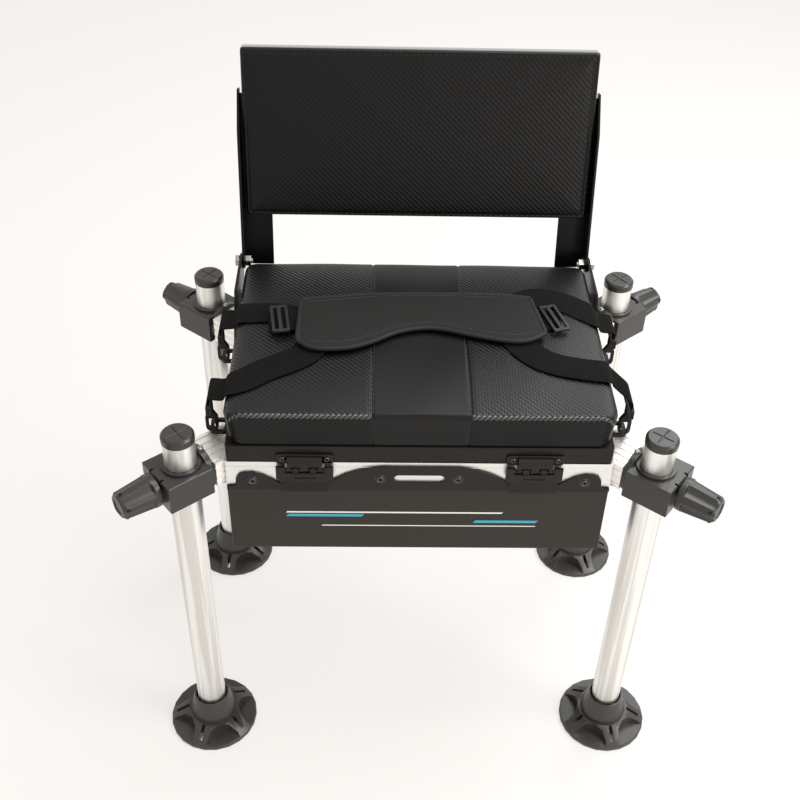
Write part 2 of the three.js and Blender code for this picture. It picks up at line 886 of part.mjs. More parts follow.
function seatCushion() {
  const columns = cushionColumns();
  const rows = cushionRows();
  const positions = [];
  const index = [];
  const wide = columns.length;
  for (const y of rows) {
    for (const x of columns) {
      const [px, py] = roundedCorner(x, y);
      positions.push(px, py, cushionTop(x, y));
    }
  }
  for (let row = 0; row < rows.length - 1; row += 1) {
    for (let column = 0; column < wide - 1; column += 1) {
      const a = row * wide + column;
      index.push(a, a + 1, a + wide + 1, a, a + wide + 1, a + wide);
    }
  }
  const rim = [];
  for (let column = 0; column < wide - 1; column += 1) {
    rim.push(column);
  }
  for (let row = 0; row < rows.length - 1; row += 1) {
    rim.push(row * wide + wide - 1);
  }
  for (let column = wide - 1; column > 0; column -= 1) {
    rim.push((rows.length - 1) * wide + column);
  }
  for (let row = rows.length - 1; row > 0; row -= 1) {
    rim.push(row * wide);
  }
  const levelShares = [0.62, 0.2, 0];
  const drawShares = [0, 0.35, 1];
  const bottom = lidTop + touchGap;
  let ring = rim;
  levelShares.forEach((share, level) => {
    const next = rim.map((top) => {
      const [x, y, z] = positions.slice(top * 3, top * 3 + 3);
      const draw = drawShares[level] * sideDraw;
      const atSeam = Math.abs(Math.abs(x) - seamOffset) < touchGap && level < 2;
      const inset = draw + (atSeam ? seamDepth / 2 : 0);
      const drawnX = x * (1 - draw / cushionHalfLength);
      const drawnY = y * (1 - inset / cushionHalfWidth);
      positions.push(drawnX, drawnY, bottom + (z - bottom) * share);
      return positions.length / 3 - 1;
    });
    for (let i = 0; i < rim.length; i += 1) {
      const j = (i + 1) % rim.length;
      index.push(next[i], next[j], ring[j], next[i], ring[j], ring[i]);
    }
    ring = next;
  });
  const centre = positions.length / 3;
  positions.push(0, 0, bottom);
  for (let i = 0; i < ring.length; i += 1) {
    index.push(centre, ring[(i + 1) % ring.length], ring[i]);
  }
  const geometry = new THREE.BufferGeometry();
  geometry.setAttribute('position', new THREE.Float32BufferAttribute(positions, 3));
  geometry.setIndex(index);
  geometry.computeVertexNormals();
  return geometry;
}

// Latch plate, centred on its own X, with the raised pad and pivot knuckles
function latchPlate() {
  const bottom = lidBottom - touchGap;
  const outline = roundedRectangle(
    [-latchPlateHalfWidth, bottom],
    [latchPlateHalfWidth, bottom + latchPlateHeight],
    latchPlateThickness,
  );
  const base = bevelled(outline, 0, latchPlateThickness, latchPlateThickness / 4, 1);
  moved(base.rotateX(Math.PI / 2), 0, -latchFace, 0);
  const padFront = -latchFace - latchPlateThickness - latchPadProud;
  const padFoot = latchPivotZ - touchGap;
  const padShape = sideProfile([
    [-latchFace - touchGap, bottom + latchPlateHeight * 0.95],
    [padFront + latchPadProud / 2, bottom + latchPlateHeight * 0.9],
    [padFront, bottom + latchPlateHeight * 0.5],
    [padFront, padFoot],
    [-latchFace - latchPlateThickness * 0.6, padFoot],
    [-latchFace - touchGap, bottom + latchPlateThickness],
  ], -latchPadHalfWidth, latchPadHalfWidth);
  const notches = [-1, 1].map((side) => block(
    [side * latchKnuckleOffset - latchNotchWidth / 2, padFront - overrun, padFoot - overrun],
    [side * latchKnuckleOffset + latchNotchWidth / 2, -latchFace - latchPlateThickness, bottom],
  ));
  const pieces = [base, cut(padShape, notches)];
  for (const side of [-1, 1]) {
    const middle = side * latchKnuckleOffset;
    const half = latchKnuckleWidth / 2;
    const knuckle = barX(latchKnuckleRadius, middle - half, middle + half);
    pieces.push(moved(knuckle, 0, -latchPivotY, latchPivotZ));
  }
  const bore = barX(latchPinRadius + touchGap, -latchPlateHalfWidth, latchPlateHalfWidth, 10);
  const body = cut(join(pieces), [moved(bore, 0, -latchPivotY, latchPivotZ)]);
  const heads = [-1, 1].map((side) => moved(
    panHead(latchScrewRadius, screwHeadHeight, latchScrewRadius / 2),
    side * latchScrewOffset, -latchFace - latchPlateThickness, lidBottom + latchPlateHeight * 0.55,
  ));
  return join([body, ...heads]);
}

// Latch lever: a U-shaped frame with an embossed foot plate, a splayed finger tab and its pivot pin
function latchLever() {
  const axis = latchPivotZ;
  const top = axis + latchPinRadius * 2.4;
  const foot = axis - leverFoot;
  const shape = new THREE.Shape();
  const outer = latchPlateHalfWidth;
  const tab = outer - leverTabInset;
  shape.moveTo(leverChamfer - outer, foot);
  shape.lineTo(outer - leverChamfer, foot);
  shape.lineTo(outer, foot + leverChamfer);
  shape.lineTo(outer, top);
  shape.lineTo(leverArmInner, top);
  shape.lineTo(leverArmInner, axis - leverWindow);
  shape.lineTo(-leverArmInner, axis - leverWindow);
  shape.lineTo(-leverArmInner, top);
  shape.lineTo(-outer, top);
  shape.lineTo(-outer, foot + leverChamfer);
  shape.closePath();
  const back = leverThickness / 2 - latchPivotY;
  const frame = bevelled(shape, 0, leverThickness, leverEmbossDepth, 2);
  moved(frame.rotateX(Math.PI / 2), 0, back, 0);
  const pin = barX(latchPinRadius, -leverArmInner - overrun, leverArmInner + overrun);
  moved(pin, 0, -latchPivotY, axis);
  const front = back - leverThickness;
  const tabFoot = foot - leverTabLength;
  const tabPiece = sideProfile([
    [back - leverThickness / 4, foot + overrun],
    [front + leverThickness / 4, foot + overrun],
    [front - leverTabSplay, tabFoot],
    [front - leverTabSplay + leverTabThickness, tabFoot],
  ], -tab, tab);
  const embossTop = axis - leverWindow - leverEmbossDrop;
  const emboss = block(
    [-leverEmbossHalfWidth, front - overrun, embossTop - leverEmbossHeight],
    [leverEmbossHalfWidth, front + leverEmbossDepth, embossTop],
  );
  return cut(join([frame, pin, tabPiece]), [emboss]);
}

// Rear hinge: two long leaves share the knuckles, the outer ones on the frame
function hingeLeaf(onLid) {
  const start = -hingeLength / 2;
  const pitch = hingeLength / hingeKnuckles;
  const face = onLid ? lidHalfWidth : railHalfWidth;
  const near = face + touchGap;
  const far = near + hingeLeafThickness;
  const clear = hingeBarrelRadius + touchGap;
  const low = onLid ? hingeZ + clear : hingeZ - clear - hingeLeafHeight;
  const leaf = block([start, near, low], [-start, far, low + hingeLeafHeight]);
  const pieces = [leaf];
  for (let i = 0; i < hingeKnuckles; i += 1) {
    if ((i % 2 === 1) === onLid) {
      const from = start + pitch * i + touchGap / 2;
      const to = start + pitch * (i + 1) - touchGap / 2;
      pieces.push(moved(barX(hingeBarrelRadius, from, to), 0, hingeY, hingeZ));
      const edge = onLid ? low + overrun : low + hingeLeafHeight - overrun;
      pieces.push(block([from, near, Math.min(hingeZ, edge)], [to, far, Math.max(hingeZ, edge)]));
    }
  }
  const bore = barX(hingePinRadius + touchGap, start - overrun, overrun - start, pinFacets);
  return cut(join(pieces), [moved(bore, 0, hingeY, hingeZ)]);
}

function hingePin() {
  return moved(barX(hingePinRadius, -hingeLength / 2, hingeLength / 2, pinFacets), 0, hingeY, hingeZ);
}

// Backrest bracket: a side plate on two stand-off bosses, with the pivot hole at its rear top
function backrestBracket(side) {
  const shape = new THREE.Shape();
  const top = pivotZ + bracketBossRadius * 0.8;
  const rear = bracketTopRear;
  const foot = lidBottom + overrun;
  shape.moveTo(bracketFootFront, foot);
  shape.lineTo(bracketFootRear, foot);
  shape.lineTo(rear, pivotZ - bracketBossRadius * 1.6);
  shape.absarc(rear - bracketBossRadius, top - bracketBossRadius, bracketBossRadius, 0, Math.PI / 2);
  shape.lineTo(bracketTopFront, top);
  shape.lineTo(bracketFootFront, foot + rimHeight * 0.6);
  shape.closePath();
  const plate = prism(shape, bracketInner, bracketOuter);
  const middle = lidBottom + rimHeight / 2;
  const pieces = [plate];
  for (const y of [bracketBossFront, bracketBossRear]) {
    const boss = barZ(bracketBossRadius, lidHalfLength + touchGap, bracketInner + overrun / 2);
    pieces.push(moved(boss, y, middle, 0));
  }
  const hole = barZ(boltShankRadius + boltBoreGap, flangeInner, bracketOuter + overrun, boltFacets);
  const bracket = cut(join(pieces), [moved(hole, pivotY, pivotZ, 0)]);
  return turnSideways(bracket, side);
}

// Turns a piece drawn in Y, Z and outward X to the left or right side of the box
function turnSideways(geometry, side) {
  const matrix = new THREE.Matrix4().set(0, 0, side, 0, 1, 0, 0, 0, 0, 1, 0, 0, 0, 0, 0, 1);
  geometry.applyMatrix4(matrix);
  if (side < 0) {
    const index = geometry.index.array;
    for (let i = 0; i < index.length; i += 3) {
      [index[i], index[i + 1]] = [index[i + 1], index[i]];
    }
  }
  geometry.computeVertexNormals();
  return geometry;
}

// Backrest side plate in the backrest's own frame: a leaf behind the pad and a side flange
function backrestPlate(side) {
  const back = padThickness + touchGap + leafSheet;
  const flange = new THREE.Shape();
  const nose = sideFlangeFront * 2;
  flange.moveTo(-sideFlangeFront, nose);
  flange.absarc(0, 0, nose, Math.PI, Math.PI * 1.75);
  flange.lineTo(back, nose);
  flange.lineTo(back, sideFlangeTop);
  flange.lineTo(back * 0.6, sideFlangeTop);
  flange.lineTo(-sideFlangeFront, sideFlangeTop - back * 2);
  flange.closePath();
  const pieces = [prism(flange, flangeInner, flangeOuter)];
  const leaf = block([back - leafSheet, leafFoot, leafInner], [back, leafTop, flangeInner + overrun / 2]);
  pieces.push(leaf);
  const boreRadius = boltShankRadius + boltBoreGap;
  const hole = barZ(boreRadius, flangeInner - overrun, flangeOuter + overrun, boltFacets);
  return turnSideways(cut(join(pieces), [hole]), side);
}

// Pivot bolt with its nut run on, drawn along outward X at the pivot
function hexBar(across, from, to) {
  return barZ(across / 2 / Math.cos(Math.PI / 6), from, to, 6);
}

function pivotBolt(side) {
  const headSeat = bracketOuter + touchGap;
  const nutSeat = flangeInner - touchGap;
  const end = nutSeat - nutHeight - overrun;
  const bolt = join([
    barZ(boltShankRadius, end, headSeat + touchGap, boltFacets),
    hexBar(boltHeadAcross, headSeat, headSeat + boltHeadHeight),
  ]);
  const pieces = join([bolt, hexBar(boltHeadAcross, nutSeat - nutHeight, nutSeat)]);
  pieces.translate(pivotY, pivotZ, 0);
  return turnSideways(pieces, side);
}

// Backrest pad: rounded slab whose faces swell a little
function backrestPad() {
  const low = [-padHalfLength, padBottomAbovePivot];
  const high = [padHalfLength, padBottomAbovePivot + padHeight];
  const stations = [
    [padThickness, padEdgeRound],
    [padThickness * 0.9, padEdgeRound * 0.35],
    [padThickness * 0.5, 0],
    [padEdgeRound * 0.6, padEdgeRound * 0.25],
    [padEdgeRound * 0.15, padEdgeRound],
    [0, padEdgeRound * 5],
  ];
  const rings = stations.map(([depth, inset]) => {
    const outline = roundedRectangle(
      [low[0] + inset, low[1] + inset],
      [high[0] - inset, high[1] - inset],
      padCorner,
    );
    return outline.getPoints(4).slice(0, -1).map((point) => new THREE.Vector3(point.x, depth, point.y));
  });
  return skinned(rings);
}

// Shoulder pad outline and strap routes, as shares of the cushion's half length and half width
const shoulderTopShares = [
  [-0.623, 0.268], [-0.491, 0.302], [-0.222, 0.349], [0.179, 0.362], [0.458, 0.356], [0.623, 0.322],
];
const shoulderRightShares = [[0.66, 0.013], [0.679, -0.134]];
const shoulderBottomShares = [
  [0.585, -0.221], [0.481, -0.235], [0.321, -0.181], [0.08, -0.081],
  [-0.104, -0.128], [-0.264, -0.268], [-0.396, -0.342], [-0.528, -0.336],
];
const shoulderLeftShares = [[-0.613, -0.268]];
const leftTabShares = [[-0.528, 0.04], [-0.599, 0.04], [-0.646, 0.034], [-0.816, 0.02]];
const rightTabShares = [[0.557, 0.081], [0.618, 0.087], [0.651, 0.087], [0.783, 0.094]];
const leftWebShares = [
  [-0.896, 0.188], [-0.778, 0.168], [-0.67, 0.101], [-0.59, -0.04], [-0.561, -0.188],
  [-0.604, -0.356], [-0.698, -0.456], [-0.811, -0.537], [-0.906, -0.631],
];
const rightWebShares = [
  [0.906, 0.282], [0.792, 0.376], [0.679, 0.403], [0.575, 0.322], [0.519, 0.168],
  [0.509, -0.027], [0.533, -0.201], [0.613, -0.369], [0.726, -0.456], [0.877, -0.49],
];

function cushionPlaces(shares) {
  return shares.map(([along, across]) => [along * cushionHalfLength, across * cushionHalfWidth]);
}

// A sewn tab that leaves the pad's middle and runs on over the cushion
function padTab(shares, middle, lift) {
  return band(cushionPlaces(shares).map(([x, y], i) => [x, y, i < 2 ? middle : laid(x, y, lift)]));
}

// Shoulder pad: a shaped slab with a webbing tab at each end
function shoulderPad() {
  const shape = new THREE.Shape();
  const points = (shares) => cushionPlaces(shares).map(([x, y]) => new THREE.Vector2(x, y));
  const [topStart, ...top] = points(shoulderTopShares);
  shape.moveTo(topStart.x, topStart.y);
  shape.splineThru(top);
  for (const corner of points(shoulderRightShares)) {
    shape.lineTo(corner.x, corner.y);
  }
  shape.splineThru(points(shoulderBottomShares));
  for (const corner of points(shoulderLeftShares)) {
    shape.lineTo(corner.x, corner.y);
  }
  shape.closePath();
  const bottom = cushionEdge + crownHeight + strapPadLift;
  const pad = bevelled(shape, bottom, bottom + strapPadThickness, strapPadRound, 2);
  const middle = bottom + strapPadThickness / 2;
  return join([pad, padTab(leftTabShares, middle, tabLift), padTab(rightTabShares, middle, 0)]);
}

// Webbing: a flat band through stations of place, height and the way it heads in plan
function band(stations) {
  const half = webWidth / 2;
  const centres = stations.map(([x, y, z]) => new THREE.Vector3(x, y, z));
  const rings = centres.map((centre, i) => {
    const before = centres[Math.max(i - 1, 0)];
    const after = centres[Math.min(i + 1, centres.length - 1)];
    const along = after.clone().sub(before);
    const heading = stations[i][3] ?? Math.atan2(along.y, along.x);
    const width = new THREE.Vector3(-Math.sin(heading), Math.cos(heading), 0);
    const thick = along.cross(width).normalize().multiplyScalar(webThickness / 2);
    const wide = width.multiplyScalar(half);
    return [[-1, -1], [1, -1], [1, 1], [-1, 1]].map(([w, t]) => centre.clone()
      .addScaledVector(wide, w)
      .addScaledVector(thick, t));
  });
  return skinned(rings);
}

// Height of a band's middle that lies on the cushion, with a lift over what is under it
function laid(x, y, lift = 0) {
  return cushionTop(x, y) + touchGap * 4 + webThickness / 2 + lift;
}

const layerLift = webThickness + touchGap * 2;
const tabLift = layerLift * 1.6;

// The stretch from a hook's eye up and over the cushion's side edge
function hangingStations({ side, ringY, edgeY }, inward) {
  const eyeZ = tabRingZ() + eyeRise();
  const x = strapEyeX();
  const heading = side * (inward ? -1 : 1) > 0 ? 0 : Math.PI;
  const stations = [
    [side * x, ringY, eyeZ, heading],
    [side * (x - webThickness), ringY, eyeZ + webWidth * 0.2, heading],
    [side * (cushionHalfLength + webThickness * 4), edgeY, cushionEdge - sideRoll * 0.3, heading],
    [side * (cushionHalfLength - sideRoll * 0.2), edgeY, cushionEdge + webThickness * 2.6, heading],
  ];
  return inward ? stations : stations.reverse();
}

function strapBand(rear, front, routeShares) {
  return band([
    ...hangingStations(rear, true),
    ...cushionPlaces(routeShares).map(([x, y]) => [x, y, laid(x, y)]),
    ...hangingStations(front, false),
  ]);
}

// Slide buckle: a flat frame with a middle bar
function slideBuckle() {
  const outer = roundedRectangle(
    [-buckleWidth / 2, -buckleLength / 2],
    [buckleWidth / 2, buckleLength / 2],
    buckleBar / 2,
  );
  const mid = buckleBar / 2;
  const endX = buckleWidth / 2 - buckleBar * 0.8;
  const endY = buckleLength / 2 - buckleBar;
  const top = buckleThickness + overrun;
  return cut(prism(outer, 0, buckleThickness), [
    block([-endX, -endY, -overrun], [-mid, endY, top]),
    block([mid, -endY, -overrun], [endX, endY, top]),
  ]);
}

const leftBuckle = { placeShares: [-0.755, 0.027], turn: 8, lift: tabLift };
const rightBuckle = { placeShares: [0.748, 0.101], turn: 16, lift: touchGap };

function strapBuckle({ placeShares, turn, lift }) {
  const [[x, y]] = cushionPlaces([placeShares]);
  const buckle = slideBuckle().rotateZ(radians(turn));
  return moved(buckle, x, y, laid(x, y, lift) + webThickness / 2 + touchGap * 3);
}

// Strap eyes on the lid rim: a small plate with a standing-out ring for the hook
function tabRingZ() {
  return lidBottom + eyeLift;
}

function strapEyeX() {
  return lidHalfLength + tabThickness + ringDepth - ringBar / 2;
}

function strapEye(side, y) {
  const face = lidHalfLength - touchGap;
  const low = tabRingZ() - tabHeight * 0.3;
  const half = tabWidth / 2;
  const plate = block([y - half, low, face], [y + half, low + tabHeight, face + tabThickness]);
  const near = lidHalfLength + tabThickness / 2;
  const far = strapEyeX() + ringBar / 2;
  const outline = roundedRectangle([y - ringLength / 2, near], [y + ringLength / 2, far], ringCorner);
  const hole = roundedRectangle(
    [y - ringLength / 2 + ringBar, near + ringBar],
    [y + ringLength / 2 - ringBar, far - ringBar],
    ringCorner - ringBar / 2,
  );
  outline.holes.push(new THREE.Path(hole.getPoints(1).reverse()));
  const ring = prism(outline, -ringBar / 2, ringBar / 2, 2);
  // The ring is drawn in Y and outward X, so a half turn about the line Y = Z stands it level
  ring.applyMatrix4(new THREE.Matrix4().set(1, 0, 0, 0, 0, 0, -1, 0, 0, 1, 0, 0, 0, 0, 0, 1));
  const eye = join([plate, moved(ring, 0, tabRingZ(), 0)]);
  return turnSideways(eye, side);
}

// Snap hook: webbing eye, swivel, and a hook closed round the ring's outer bar
function eyeRise() {
  return hookLength + webThickness;
}

function snapHook({ side, ringY }) {
  const outerRadius = hookSlotRadius + hookWall;
  const ringEdge = Math.sqrt((hookSlotRadius - touchGap * 2) ** 2 - (ringBar / 2) ** 2);
  const ringCentre = ringEdge - ringBar / 2;
  const top = hookLength - ringCentre;
  const body = new THREE.Shape();
  body.absarc(0, 0, outerRadius, Math.PI, 0);
  body.lineTo(outerRadius, hookLength * 0.3);
  body.lineTo(swivelRadius, hookLength * 0.46);
  body.lineTo(-swivelRadius, hookLength * 0.46);
  body.lineTo(-outerRadius, hookLength * 0.3);
  body.closePath();
  const window = new THREE.Path();
  window.moveTo(hookSlotRadius, 0);
  window.absarc(0, 0, hookSlotRadius, 0, -Math.PI, true);
  window.lineTo(-hookSlotRadius, hookLength * 0.26);
  window.lineTo(hookSlotRadius, hookLength * 0.26);
  window.closePath();
  body.holes.push(window);
  const hook = prism(body, -hookThickness / 2, hookThickness / 2, 5);
  hook.rotateX(Math.PI / 2);
  const swivel = barZ(swivelRadius, hookLength * 0.4, top - hookEyeHeight + hookEyeBar / 2);
  const eyeOuter = roundedRectangle(
    [-hookEyeLength / 2, top - hookEyeHeight],
    [hookEyeLength / 2, top],
    hookEyeBar / 2,
  );
  const eye = new THREE.Path();
  const reach = hookEyeLength / 2 - hookEyeBar;
  const low = top - hookEyeHeight + hookEyeBar;
  eye.moveTo(-reach, low);
  eye.lineTo(-reach, top - hookEyeBar);
  eye.lineTo(reach, top - hookEyeBar);
  eye.lineTo(reach, low);
  eye.closePath();
  eyeOuter.holes.push(eye);
  const frame = prism(eyeOuter, -hookEyeBar / 2, hookEyeBar / 2, 1);
  frame.rotateX(Math.PI / 2);
  frame.rotateZ(Math.PI / 2);
  const whole = join([hook, swivel, frame]);
  whole.translate(0, 0, ringCentre);
  return moved(whole, side * strapEyeX(), ringY, tabRingZ());
}

// Frame, panel and body
place(assembly, 'front_rail', railBar(railHalfLength, railHalfWidth, true), brushedRail);
place(assembly, 'rear_rail', railBar(railHalfLength, railHalfWidth, true).rotateZ(Math.PI), brushedRail);
place(assembly, 'right_rail', railBar(railHalfWidth, railHalfLength, false), brushedRail);
place(assembly, 'left_rail', railBar(railHalfWidth, railHalfLength, false).rotateZ(Math.PI), brushedRail);
place(assembly, 'box_body', boxBody(), mouldedBlack);
place(assembly, 'front_panel', frontPanel(), panelBlack);
place(assembly, 'front_plate', frontPlate(), coatedBlack);

// Corners: arm, block, knob, leg and foot
const corners = [
  ['front_left', -1, -1],
  ['front_right', 1, -1],
  ['rear_left', -1, 1],
  ['rear_right', 1, 1],
];
for (const [name, side, end] of corners) {
  const angle = radians(armAngle);
  const facing = Math.atan2(end * Math.sin(angle), side * Math.cos(angle));
  const corner = new THREE.Group();
  corner.position.set(side * legCentreX, end * legCentreY, 0);
  corner.rotation.z = facing;
  assembly.add(corner);
  place(corner, `clamp_block_${name}`, clampBlock(), mouldedBlack);
  place(corner, `clamp_knob_${name}`, clampKnob(), mouldedBlack);
  place(corner, `leg_tube_${name}`, legTube(), aluminium);
  place(corner, `leg_cap_${name}`, legCap(), mouldedBlack);
  place(corner, `foot_ball_${name}`, footBall(), mouldedBlack);
  const foot = place(corner, `mud_foot_${name}`, mudFoot(), rubberBlack);
  foot.rotation.z = radians(footTurns[name]) - facing;
  place(assembly, `corner_arm_${name}`, cornerArm(side, end), aluminium);
}

// Lid, cushion, latches and hinges
place(assembly, 'lid_base', lidBase(), mouldedBlack);
place(assembly, 'seat_cushion', seatCushion(), vinyl);
for (const [name, side] of [['left', -1], ['right', 1]]) {
  place(assembly, `latch_plate_${name}`, latchPlate(), coatedBlack, side * latchOffset);
  place(assembly, `latch_lever_${name}`, latchLever(), coatedBlack, side * latchOffset);
  place(assembly, `backrest_bracket_${name}`, backrestBracket(side), coatedBlack);
}
place(assembly, 'hinge_frame_leaf', hingeLeaf(false), zinc);
place(assembly, 'hinge_lid_leaf', hingeLeaf(true), zinc);
place(assembly, 'hinge_pin', hingePin(), zinc);

// Backrest, leaning back about its pivot line
const backrest = new THREE.Group();
backrest.position.set(0, pivotY, pivotZ);
backrest.rotation.x = radians(-backrestLean);
assembly.add(backrest);
place(backrest, 'backrest_plate_left', backrestPlate(-1), coatedBlack);
place(backrest, 'backrest_plate_right', backrestPlate(1), coatedBlack);
place(backrest, 'backrest_pad', backrestPad(), vinyl);
place(assembly, 'backrest_bolt_left', pivotBolt(-1), zinc);
place(assembly, 'backrest_bolt_right', pivotBolt(1), zinc);

// Carrying strap
const [rearLeft, rearRight, frontLeft, frontRight] = strapPlaces;
place(assembly, 'shoulder_pad', shoulderPad(), paddedBlack);
place(assembly, 'strap_webbing_left', strapBand(rearLeft, frontLeft, leftWebShares), webbingBlack);
place(assembly, 'strap_webbing_right', strapBand(rearRight, frontRight, rightWebShares), webbingBlack);
place(assembly, 'strap_buckle_left', strapBuckle(leftBuckle), coatedBlack);
place(assembly, 'strap_buckle_right', strapBuckle(rightBuckle), coatedBlack);
for (const hook of strapPlaces) {
  place(assembly, `strap_hook_${hook.name}`, snapHook(hook), coatedBlack);
}

// The origin is on the ground, under the middle of the whole outline
assembly.updateMatrixWorld(true);
const bounds = new THREE.Box3().setFromObject(assembly, true);
assembly.position.y = -(bounds.min.y + bounds.max.y) / 2;

export default assembly;
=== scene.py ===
"""Looks of a match fishing seat box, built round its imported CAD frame."""

import json
import math

import bpy
import numpy as np
from mathutils import Matrix, Vector


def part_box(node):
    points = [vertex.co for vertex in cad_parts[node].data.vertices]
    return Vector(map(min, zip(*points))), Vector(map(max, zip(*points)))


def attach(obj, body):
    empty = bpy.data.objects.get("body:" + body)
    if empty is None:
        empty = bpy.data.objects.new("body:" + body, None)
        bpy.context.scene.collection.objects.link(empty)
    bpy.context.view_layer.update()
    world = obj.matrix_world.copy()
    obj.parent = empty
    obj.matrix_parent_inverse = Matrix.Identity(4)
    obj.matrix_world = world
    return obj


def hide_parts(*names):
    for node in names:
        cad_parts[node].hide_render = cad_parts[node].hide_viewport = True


bl_info = {
    "name": "Fishing Seat Box",
    "version": (1, 0, 0),
    "blender": (4, 5, 0),
    "location": "View3D > Sidebar > Seat Box",
    "description": "Finishes, padding, strap and stage for a fishing seat box",
    "category": "Add Mesh",
}

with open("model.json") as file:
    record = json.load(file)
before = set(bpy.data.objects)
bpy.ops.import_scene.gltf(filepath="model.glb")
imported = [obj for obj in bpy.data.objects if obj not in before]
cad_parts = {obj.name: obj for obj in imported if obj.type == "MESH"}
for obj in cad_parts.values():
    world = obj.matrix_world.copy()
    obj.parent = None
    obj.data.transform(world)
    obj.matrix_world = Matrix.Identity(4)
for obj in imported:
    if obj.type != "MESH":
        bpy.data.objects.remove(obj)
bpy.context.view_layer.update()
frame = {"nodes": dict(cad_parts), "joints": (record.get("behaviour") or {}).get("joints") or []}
NODES = frame["nodes"]
JOINTS = {joint["name"]: joint for joint in frame["joints"]}
MM = 0.001
RIGHT, FRONT, REAR, UP = np.array([(1, 0, 0), (0, -1, 0), (0, 1, 0), (0, 0, 1)], float)

# Places that the frame gives. The cushion and strap are worked out from the cushion's middle, at SEAT_Y
CUSHION_LOW, CUSHION_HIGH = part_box("seat_cushion")
SEAT_Y = (CUSHION_LOW.y + CUSHION_HIGH.y) / 2
LID_HALF = (CUSHION_HIGH.x - CUSHION_LOW.x) / 2
OVERHANG = 1 * MM
HALF_LENGTH = LID_HALF + OVERHANG
HALF_WIDTH = (CUSHION_HIGH.y - CUSHION_LOW.y) / 2
BACK_LEAN = math.radians(12)
BACK_FRAME = Matrix.Translation(JOINTS["backrest_fold"]["pos_m"]) @ Matrix.Rotation(-BACK_LEAN, 4, "X")
CORNERS = {"front_left": (-1, -1), "front_right": (1, -1), "rear_left": (-1, 1), "rear_right": (1, 1)}


def linear(text):
    """Turns an sRGB hex colour into linear RGB."""
    values = [int(text[i : i + 2], 16) / 255 for i in (1, 3, 5)]
    return tuple(v / 12.92 if v <= 0.04045 else ((v + 0.055) / 1.055) ** 2.4 for v in values)


def colour_choice(name, description, shade):
    """A colour, given in sRGB hex, that a user may change."""
    return bpy.props.FloatVectorProperty(
        name=name, description=description, default=linear(shade), subtype="COLOR", size=3, min=0, max=1,
    )


def length_choice(name, description, length, least=0.0):
    """A length in millimetres that a user may change."""
    return bpy.props.FloatProperty(
        name=name, description=description, default=length * MM, unit="LENGTH", min=least * MM,
    )


class SeatBoxColours(bpy.types.PropertyGroup):
    """Colours of the seat box's materials"""

    vinyl: colour_choice("Vinyl", "Cover of the cushion and backrest", "#0d0c0c")
    moulded: colour_choice("Moulded nylon", "Clamps, knobs and caps", "#2e2c2a")
    rim: colour_choice("Lid rim", "Lid base and box body", "#1a1612")
    panel: colour_choice("Front panel", "Lacquered front panel", "#2a241e")
    coated: colour_choice("Powder coat", "Front plate, latches and strap hooks", "#171310")
    rubber: colour_choice("Foot rubber", "Mud feet", "#363431")
    webbing: colour_choice("Webbing", "Carrying strap webbing", "#121110")
    strap_pad: colour_choice("Shoulder pad", "Neoprene shoulder pad and its binding", "#181716")
    aluminium: colour_choice("Aluminium", "Legs and rails", "#f4f3f0")
    accent: colour_choice("Accent", "Second colour of the front panel's stripes", "#35a9c0")


class SeatBoxSizes(bpy.types.PropertyGroup):
    """Sizes of the padding, weave and trim"""

    crown: length_choice("Cushion crown", "Rise of the cushion's middle over its edge", 10)
    piping_radius: length_choice("Piping radius", "Radius of the twisted piping on the front edge", 2.4)
    piping_pitch: length_choice("Piping twist", "Length of one strand of the piping's twist", 5.8, 0.5)
    twill_pitch: length_choice("Twill pitch", "Distance between twill ribs along the cushion", 6.6, 0.5)
    web_width: length_choice("Webbing width", "Width of the strap webbing", 38, 5)
    web_thickness: length_choice("Webbing thickness", "Thickness of the strap webbing", 1.6, 0.5)
    stitch: length_choice("Stitch length", "Length of one stitch", 3.2, 0.5)


def colours():
    return bpy.context.scene.seat_box_colours


def sizes():
    return bpy.context.scene.seat_box_sizes


# Shader nodes
def add(tree, kind, links=None, **settings):
    """Adds one node with its settings, and sets or links its inputs."""
    node = tree.nodes.new(kind)
    for name, value in settings.items():
        setattr(node, name, value)
    for socket, source in (links or {}).items():
        if isinstance(source, bpy.types.NodeSocket):
            tree.links.new(source, node.inputs[socket])
        else:
            node.inputs[socket].default_value = source
    return node


def start_finish(name, colour, roughness, **sockets):
    """A new material with its shader, uniform values straight on the shader's sockets."""
    material = bpy.data.materials.new(name)
    material.use_nodes = True
    shader = material.node_tree.nodes["Principled BSDF"]
    shader.inputs["Base Color"].default_value = (*colour, 1)
    shader.inputs["Roughness"].default_value = roughness
    for socket, value in sockets.items():
        shader.inputs[socket.replace("_", " ")].default_value = value
    return material, material.node_tree, shader


def shaded(colour, share):
    return (*(min(c * share, 1) for c in colour), 1)


def colour_between(tree, shader, factor, low, high):
    """Lets the base colour go from one colour to another with a factor."""
    mix = add(tree, "ShaderNodeMix", {"Factor": factor, "A": low, "B": high}, data_type="RGBA")
    tree.links.new(mix.outputs["Result"], shader.inputs["Base Color"])


def vary(tree, shader, colour, factor, tone=None, gloss=None, bump=None):
    """Lets a factor shade the colour between two shares (tone), spread the roughness between two values
    (gloss) and raise the surface by a depth in millimetres and a strength (bump)."""
    if tone:
        colour_between(tree, shader, factor, shaded(colour, tone[0]), shaded(colour, tone[1]))
    if gloss:
        level = add(tree, "ShaderNodeMapRange", {"Value": factor, "To Min": gloss[0], "To Max": gloss[1]})
        tree.links.new(level.outputs["Result"], shader.inputs["Roughness"])
    if bump:
        depth, strength = bump
        raised = add(tree, "ShaderNodeBump", {"Height": factor, "Distance": depth * MM, "Strength": strength})
        tree.links.new(raised.outputs["Normal"], shader.inputs["Normal"])


